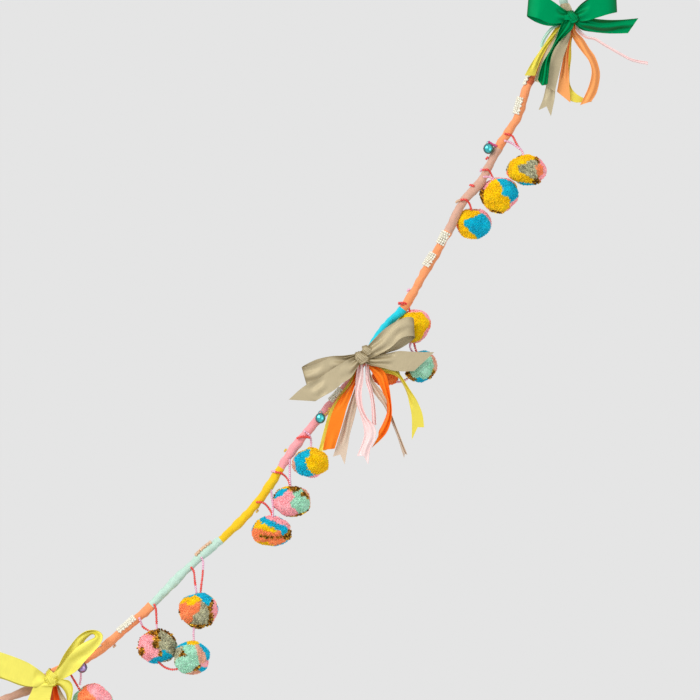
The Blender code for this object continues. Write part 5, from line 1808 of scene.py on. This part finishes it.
@dataclass
class WoolMaker:
    """Covers balls with trimmed wool pile by Geometry Nodes."""

    spacing: float = 0.0014
    tuft_length: float = 0.0036
    bare_length: float = 0.0011
    tuft_radius: float = 0.00056
    root_share: float = 0.3
    root_thick: float = 0.00028
    tip_thick: float = 0.00044
    fibres: int = 4
    tree: Tree = field(init=False)
    tuft: bpy.types.Object = field(init=False)

    def __post_init__(self) -> None:
        """Make the tuft and the tree that plants it."""
        self.tuft = self.build_tuft()
        self.tree = self.build_tree()

    def build_tuft(self) -> bpy.types.Object:
        """Build one tuft of trimmed ends that flare outwards, rooted at the origin along Z.

        Returns:
            The tuft that the tree repeats.
        """
        points, faces = [], []
        for number in range(self.fibres):
            angle = 2 * math.pi * number / self.fibres
            lean = Vector((math.cos(angle), math.sin(angle), 0.0)) * self.tuft_radius
            length = self.tuft_length * (1.0 - 0.05 * (number % 3))
            base = len(points)
            for height, reach, thick in ((0.0, self.root_share, self.root_thick),
                                         (length, 1.0, self.tip_thick)):
                for side in range(3):
                    spin = angle + 2 * math.pi * side / 3
                    rim = Vector((math.cos(spin), math.sin(spin), 0.0)) * thick
                    points.append(lean * reach + rim + Vector((0.0, 0.0, height)))
            for side in range(3):
                after = (side + 1) % 3
                faces.append((base + side, base + after, base + 3 + after, base + 3 + side))
            faces.append((base + 3, base + 4, base + 5))
            faces.append((base + 2, base + 1, base))
        return mesh_object("one_tuft", points, faces, 0.5)

    def build_tree(self) -> Tree:
        """Build the tree that plants tufts all over a ball and keeps each one's root.

        Returns:
            The tree.
        """
        tree = Tree(bpy.data.node_groups.new("wool_pile", "GeometryNodeTree"))
        tree.group.is_modifier = True
        tree.socket("Geometry", "Geometry")
        tree.socket("Tuft", "Object")
        tree.socket("Spacing", "Float", value=self.spacing)
        tree.socket("Most Points", "Float", value=1.5e6)
        tree.socket("Lean", "Float", value=0.22)
        tree.socket("Smallest", "Float", value=0.88)
        tree.socket("Largest", "Float", value=1.08)
        tree.socket("Seed", "Int", value=1)
        tree.socket("Material", "Material")
        tree.socket("Geometry", "Geometry", "OUTPUT")
        given = tree.add("NodeGroupInput").outputs
        seed, lean = given["Seed"], given["Lean"]
        spread = tree.add("GeometryNodeDistributePointsOnFaces", {
            "Mesh": given["Geometry"], "Distance Min": given["Spacing"],
            "Density Max": given["Most Points"], "Seed": seed}, distribute_method="POISSON")
        where = tree.add("GeometryNodeInputPosition")
        rooted = tree.add("GeometryNodeStoreNamedAttribute", {
            "Geometry": spread.outputs["Points"], "Name": "root", "Value": where.outputs[0],
        }, data_type="FLOAT_VECTOR", domain="POINT")
        back = tree.add("ShaderNodeMath", {0: lean, 1: -1.0}, operation="MULTIPLY").outputs[0]
        low = tree.add("ShaderNodeCombineXYZ", {0: back, 1: back})
        high = tree.add("ShaderNodeCombineXYZ", {0: lean, 1: lean, 2: 2 * math.pi})
        leant = tree.add("FunctionNodeRandomValue", {
            0: low.outputs[0], 1: high.outputs[0], "Seed": seed}, data_type="FLOAT_VECTOR")
        euler = tree.add("FunctionNodeEulerToRotation", {0: leant.outputs[0]})
        turned = tree.add("FunctionNodeRotateRotation", {
            0: spread.outputs["Rotation"], 1: euler.outputs[0]}, rotation_space="LOCAL")
        size = tree.add("FunctionNodeRandomValue", {
            2: given["Smallest"], 3: given["Largest"], "Seed": seed}, data_type="FLOAT")
        tree.repeat(given, "Tuft", rooted.outputs[0], turned.outputs[0], size.outputs[1])
        return tree

    def clear_up(self) -> None:
        """Remove the tuft that the tree repeats."""
        bpy.data.objects.remove(self.tuft, do_unlink=True)


@dataclass
class Pompom:
    """A ball of trimmed wool in several colours."""

    ball: Ball
    maker: WoolMaker
    path: RopePath
    seed: int
    uneven: float = 0.19
    uneven_scale: float = 1.6
    pebbles: float = 0.02
    pebbles_scale: float = 16.0
    rear_patches: int = 7
    rear_heights: tuple[float, float] = (0.35, 0.95)
    noise_step: float = 7.1
    tone_spread: tuple[float, float] = (0.84, 1.16)
    fleck_tones: tuple[float, ...] = (0.5, 0.8, 1.0, 1.2, 1.5)
    # Random tones of the gold thread; the brightest are painted glints of the metal.
    gold_tones_and_glints: tuple[float, ...] = (0.35, 0.7, 1.2, 2.8)
    gold_lengths: tuple[float, float] = (1.0, 1.5)
    border: float = 0.02
    gold_shrink: float = 0.1
    # Painted shade: the ball under the pile is coloured darker than the pile, as the shade deep between the
    # tufts.
    painted_core_shade: float = 0.8
    centre: Vector = field(init=False)
    halves: Vector = field(init=False)

    def __post_init__(self) -> None:
        """Find the ball's centre and half sizes."""
        ball = self.ball
        wide, high = ball.wide_mm * MM / 2, ball.high_mm * MM / 2
        deep = (wide + high) / 2
        if ball.depth_mm is None:
            depth = self.path.depth_beside(ball.across, ball.down, deep, 1)
        else:
            depth = ball.depth_mm * MM
        self.centre = place(ball.across, ball.down, depth)
        self.halves = Vector((wide, deep, high))

    def build(self) -> None:
        """Build the pompom: a core and its pile, coloured tuft by tuft."""
        core = self.build_core("core", 1.0 - self.maker.bare_length / self.halves.x, 5)
        base = self.build_core("wool_" + self.ball.name, 1.0 - self.maker.tuft_length / self.halves.x, 4)
        values = {"Tuft": self.maker.tuft, "Spacing": self.maker.spacing, "Seed": self.seed,
                  "Material": WOOL_FINISH.material()}
        grow(base, self.maker.tree, values)
        self.colour_pile(base)
        core.data.materials.append(WOOL_FINISH.material())
        self.colour_core(core)
        pompom = join_meshes("wool_" + self.ball.name, [base, core])
        settle(pompom, self.ball.slot, self.ball.name)

    def build_core(self, name: str, share: float, detail: int) -> bpy.types.Object:
        """Build the ball under the pile, a little uneven.

        Args:
            name: The object's name.
            share: Its size as a share of the pompom.
            detail: How finely it is divided.

        Returns:
            The ball.
        """
        work = bmesh.new()
        bmesh.ops.create_icosphere(work, subdivisions=detail, radius=1.0)
        offset = Vector((self.seed * self.noise_step, 0.0, 0.0))
        for vert in work.verts:
            swell = 1.0 + self.uneven * noise.noise(vert.co * self.uneven_scale + offset)
            swell += self.pebbles * noise.noise(vert.co * self.pebbles_scale + offset)
            vert.co = self.centre + vert.co * self.halves * (share * swell)
        return object_from(name, work)

    def wools(self) -> tuple[np.ndarray, list[Wool]]:
        """Return the patches of the front and of the back, as directions and wools.

        Returns:
            The directions, one row each, and the wools.
        """
        draw = random.Random(self.seed)
        places, wools = [], []
        for wool, *spots in self.ball.zones:
            for right, up in spots:
                places.append((right, -math.sqrt(max(1.0 - right * right - up * up, 0.0)), up))
                wools.append(wool)
        front = tuple(wools)
        for _ in range(self.rear_patches):
            angle, height = draw.uniform(0, 2 * math.pi), draw.uniform(*self.rear_heights)
            reach = math.sqrt(1.0 - height * height)
            places.append((math.cos(angle) * reach, height, math.sin(angle) * reach))
            wools.append(draw.choice(front))
        return np.array(places), wools

    def pick(self, points: np.ndarray, ragged: float) -> np.ndarray:
        """Return the number of the patch that each point belongs to.

        Args:
            points: The points, one row each.
            ragged: How ragged the borders between the colours are.

        Returns:
            The patches' numbers.
        """
        places, wools = self.wools()
        scaled = (points - np.array(self.centre)) / np.array(self.halves)
        scaled /= np.linalg.norm(scaled, axis=1, keepdims=True)
        jitter = np.random.default_rng(self.seed).normal(0.0, ragged, scaled.shape)
        apart = np.linalg.norm((scaled + jitter)[:, None, :] - places[None, :, :], axis=2)
        thin = np.array([self.gold_shrink if wool is Wool.GOLD else 0.0 for wool in wools])
        return np.argmin(apart + thin, axis=1)

    def colour_pile(self, pile: bpy.types.Object) -> None:
        """Colour each tuft from the patch that its root is in, and lay the gold threads, the brightest of
        them as painted glints.

        Args:
            pile: The tufts.
        """
        mesh = pile.data
        roots = read(mesh.attributes["root"].data, "vector", 3)
        tufts, which = np.unique(np.round(roots, 6), axis=0, return_inverse=True)
        which = which.ravel()
        _, wools = self.wools()
        numbers = self.pick(tufts, self.border)
        draw = np.random.default_rng(self.seed + 50)
        tones = draw.uniform(*self.tone_spread, len(tufts))
        flecked = np.array([wool is Wool.OLIVE for wool in wools])[numbers]
        tones[flecked] = draw.choice(self.fleck_tones, flecked.sum())
        bright = np.array([wool is Wool.GOLD for wool in wools])[numbers]
        # The gold tufts take random tones from dark to very bright; the brightest stand in as painted
        # glints.
        tones[bright] = draw.choice(self.gold_tones_and_glints, bright.sum())
        colours = np.array([linear(wool.value) for wool in wools])[numbers]
        colours[:, :3] *= tones[:, None]
        points = read(mesh.vertices, "co", 3)
        lengths = np.where(bright, draw.uniform(*self.gold_lengths, len(tufts)), 1.0)[which][:, None]
        mesh.vertices.foreach_set("co", (roots + (points - roots) * lengths).ravel())
        lay_wool(mesh, colours[which])
        mesh.materials.clear()
        mesh.materials.append(WOOL_FINISH.material())
        mesh.materials.append(GOLD_FINISH.material())
        corners = read(mesh.loops, "vertex_index", kind=np.int32)
        starts = read(mesh.polygons, "loop_start", kind=np.int32)
        mesh.polygons.foreach_set("material_index", bright[which][corners[starts]].astype(np.int32))
        mesh.attributes.remove(mesh.attributes["root"])

    def colour_core(self, core: bpy.types.Object) -> None:
        """Colour the ball under the pile a little darker than the pile over it: painted shade between the
        tufts.

        Args:
            core: The ball.
        """
        _, wools = self.wools()
        table = np.array([shade(linear(wool.value), self.painted_core_shade) for wool in wools])
        lay_wool(core.data, table[self.pick(read(core.data.vertices, "co", 3), 0.0)])


@dataclass
class Bell:
    """A small round bell with a raised seam, a slot below and a loop on top."""

    name: str
    across: float
    down: float
    lacquer: Lacquer
    path: RopePath
    radius: float = 0.007
    sides: int = 32
    shell: float = 0.95
    seam: tuple[tuple[float, float], ...] = ((0.06, 0.99), (0.08, 0.945))
    slot_top: float = -0.2
    slot_half: float = 0.12
    slot_depth: float = 0.12
    ring_radius: float = 0.0022
    ring_wire: float = 0.0005
    ring_steps: int = 16

    def build(self) -> None:
        depth = self.path.depth_beside(self.across, self.down, self.radius, -1)
        centre = place(self.across, self.down, depth)
        heights = [math.sin(math.radians(angle)) for angle in range(-84, 85, 12)]
        rings = [(height, self.shell * math.sqrt(1.0 - height ** 2)) for height in heights
                 if abs(height) > self.seam[-1][0]]
        for height, girth in self.seam:
            rings += [(-height, girth), (height, girth)]
        rings.sort()
        pole = Vector((0.0, 0.0, self.radius * self.shell))
        points = [centre - pole]
        for height, girth in rings:
            for side in range(self.sides):
                angle = 2 * math.pi * side / self.sides
                slot = height < self.slot_top and abs(math.sin(angle)) < self.slot_half
                offset = Vector((math.cos(angle) * girth, math.sin(angle) * girth, height))
                offset *= 1.0 - (self.slot_depth if slot else 0.0)
                points.append(centre + offset * self.radius)
        points.append(centre + pole)
        ball = mesh_object("ball", points, turned_faces(len(rings), self.sides), 0.6)
        turn_outwards(ball.data)
        line = []
        for step in range(self.ring_steps + 1):
            angle = 2 * math.pi * step / self.ring_steps
            across, up = self.ring_radius * math.cos(angle), self.ring_radius * math.sin(angle)
            line.append(centre + Vector((across, 0.0, self.radius + up)))
        ring = twisted_cord("ring", line, self.ring_wire, 1.0)
        bell = join_meshes("shiny_" + self.name, [ball, ring])
        bell.data.materials.clear()
        bell.data.materials.append(lacquer_finish(self.lacquer).material())
        settle(bell, self.lacquer.value, self.name)


@dataclass
class BeadWork:
    """The threads of beads and the patches of beads sewn on the rope."""

    maker: BeadMaker
    sewn: BeadMaker
    path: RopePath
    balls: dict[str, Pompom]
    row_gap: float = 0.0024
    row_lift: float = 0.001
    row_steps: int = 16
    edge_steps: int = 8
    edge_slack: float = 0.1
    thread_end: float = 0.8
    edge_seed: int = 60
    band_seed: int = 100

    def build_runs(self) -> None:
        """String the threads that carry the pompoms."""
        for seed, run in enumerate(BEAD_RUNS):
            points = [place(across, down, depth * MM) for across, down, depth in run.route]
            if run.ball:
                ball = self.balls[run.ball]
                towards = (ball.centre - points[-1]).normalized()
                points.append(ball.centre - towards * min(ball.halves) * self.thread_end)
            glasses = (run.glass, run.second or run.glass)
            obj = self.maker.string(run.name, smooth_path(points, 8), glasses, run.share, seed)
            slot = "beads_pink" if run.glass is Glass.PINK else "beads_coral"
            settle(obj, slot, *([run.node] if run.node else []))

    def build_edges(self) -> None:
        """Sew a few beads here and there on the rope's upper left side."""
        for seed, edge in enumerate(EDGES):
            _, run = self.path.nearest(place(edge.across, edge.down))
            radius = self.path.width(run) + self.maker.radius
            arc = self.maker.pitch * (edge.count - 1) + self.maker.radius * self.edge_slack
            middle, half = math.radians(edge.degrees), arc / 2 / radius
            line = []
            for step in range(self.edge_steps + 1):
                share = 2 * step / self.edge_steps - 1
                line.append(self.path.around(run + share * edge.slant * MM, middle + share * half, radius))
            obj = self.maker.string(edge.name, line, (edge.glass, edge.glass), 1.0, self.edge_seed + seed)
            settle(obj, "beads_pink" if edge.glass is Glass.PINK else "beads_coral")

    def build_bands(self) -> None:
        """Sew the patches of beads round the rope, row after row."""
        for seed, band in enumerate(BANDS):
            start, end = self.path.run_at_down(band.top), self.path.run_at_down(band.bottom)
            rows = max(2, round((end - start) / self.row_gap))
            line = []
            for row in range(rows):
                run = start + (end - start) * row / (rows - 1)
                radius = self.path.width(run) + self.row_lift
                spread = [band.start_degrees, band.end_degrees]
                if row % 2:
                    spread.reverse()
                for step in range(self.row_steps + 1):
                    share = step / self.row_steps
                    angle = math.radians(spread[0] + (spread[1] - spread[0]) * share)
                    line.append(self.path.around(run, angle, radius))
            obj = self.sewn.string(band.name, line, (band.glass, band.glass), 1.0, self.band_seed + seed)
            settle(obj, "cord_cream")


@dataclass
class Studio:
    """The camera, the lights and the floor."""

    lens: float = 300.0
    sensor: float = 36.0
    middle: tuple[float, float] = (350.0, 350.0)
    view_across: float = 700.0
    background: float = 0.783
    fill_below: float = 0.44
    fill_above: float = 0.78
    key: float = 62.0
    rim: float = 9.0
    key_from: tuple[float, float, float] = (-1.8, -1.9, 1.5)
    side_from: tuple[float, float, float] = (1.4, -1.6, -0.3)
    floor_radius: float = 0.6
    floor_height: float = -1.3

    def build_camera(self) -> None:
        """Aim a long lens straight at the middle of the frame."""
        data = bpy.data.cameras.new("camera")
        data.lens = self.lens
        data.sensor_width = self.sensor
        camera = bpy.data.objects.new("camera", data)
        bpy.context.collection.objects.link(camera)
        distance = self.view_across * PIXEL * self.lens / self.sensor
        camera.location = place(*self.middle, -distance)
        camera.rotation_euler = (math.pi / 2, 0.0, 0.0)
        data.clip_start, data.clip_end = 0.5, 60.0
        bpy.context.scene.camera = camera

    def build_lights(self) -> None:
        """Light the garland softly from the upper left, with a weaker light from the right."""
        scene = bpy.context.scene
        world = bpy.data.worlds.new("pale_room")
        scene.world = world
        world.use_nodes = True
        tree = Tree(world.node_tree)
        white = (1.0, 1.0, 1.0, 1.0)
        seen = tree.group.nodes["Background"]
        tree.fill(seen, {0: white, 1: self.background})
        where = tree.add("ShaderNodeTexCoord")
        height = tree.add("ShaderNodeSeparateXYZ", {0: where.outputs["Generated"]})
        level = tree.add("ShaderNodeMapRange", {
            "Value": height.outputs[2], "From Min": -1.0,
            "To Min": self.fill_below, "To Max": self.fill_above})
        lit = tree.add("ShaderNodeBackground", {0: white, 1: level.outputs["Result"]})
        way = tree.add("ShaderNodeLightPath")
        mix = tree.add("ShaderNodeMixShader", {
            0: way.outputs["Is Camera Ray"], 1: lit.outputs[0], 2: seen.outputs[0]})
        tree.fill(tree.group.nodes["World Output"], {0: mix.outputs[0]})
        scene.view_settings.view_transform = "Standard"
        self.add_area("key_light", Vector(self.key_from), 1.9, self.key)
        self.add_area("side_light", Vector(self.side_from), 1.6, self.rim)

    def add_area(self, name: str, offset: Vector, size: float, power: float) -> None:
        """Add a square area light that faces the garland's middle.

        Args:
            name: The light's name.
            offset: Where it stands from the middle.
            size: The length of its side.
            power: Its power in watts.
        """
        data = bpy.data.lights.new(name, "AREA")
        data.size = size
        data.energy = power
        lamp = bpy.data.objects.new(name, data)
        bpy.context.collection.objects.link(lamp)
        lamp.location = place(*self.middle) + offset
        lamp.rotation_euler = (-offset).to_track_quat("-Z", "Y").to_euler()

    def build_floor(self) -> None:
        """Lay a round pale floor well below the garland."""
        work = bmesh.new()
        bmesh.ops.create_circle(work, cap_ends=True, segments=64, radius=self.floor_radius)
        for vert in work.verts:
            vert.co += Vector((place(*self.middle).x, 0.0, self.floor_height))
        floor = object_from("floor", work)
        finish = Finish("floor_pale", (0.78, 0.78, 0.78, 1.0), roughness=0.9, grain_scales=(3.0, 3.0, 2.0),
                        dark=0.98, light=1.01, bump=0.02)
        floor.data.materials.append(finish.material())


def main() -> None:
    """Build the whole garland, piece by piece."""
    logging.basicConfig(level=logging.INFO, format="%(message)s")
    studio = Studio()
    studio.build_camera()
    path = RopePath()
    wound = WoundRope(path)
    rope = wound.build()
    top, lower = path.line[0], path.line[-1]
    loops = [
        wound.build_loop("cord_loop_top", top, (-top).normalized(), top.length - wound.cord_radius),
        wound.build_loop("cord_loop_lower", lower, (lower - path.line[-8]).normalized(), wound.lower_loop),
    ]
    wound.declare(rope, loops)
    Bunch(CUTS).build()
    for cut in BOWS:
        Bow(cut).build()
    wool = WoolMaker()
    balls = {}
    for seed, ball in enumerate(BALLS):
        balls[ball.name] = Pompom(ball, wool, path, seed + 1)
        balls[ball.name].build()
    wool.clear_up()
    for name, across, down, lacquer in BELLS:
        Bell(name, across, down, lacquer, path).build()
    beads = BeadMaker()
    sewn = BeadMaker(radius=0.00178, pitch=0.0028)
    work = BeadWork(beads, sewn, path, balls)
    work.build_runs()
    work.build_edges()
    work.build_bands()
    beads.clear_up()
    sewn.clear_up()
    studio.build_lights()
    studio.build_floor()


if __name__ == "__main__":
    main()
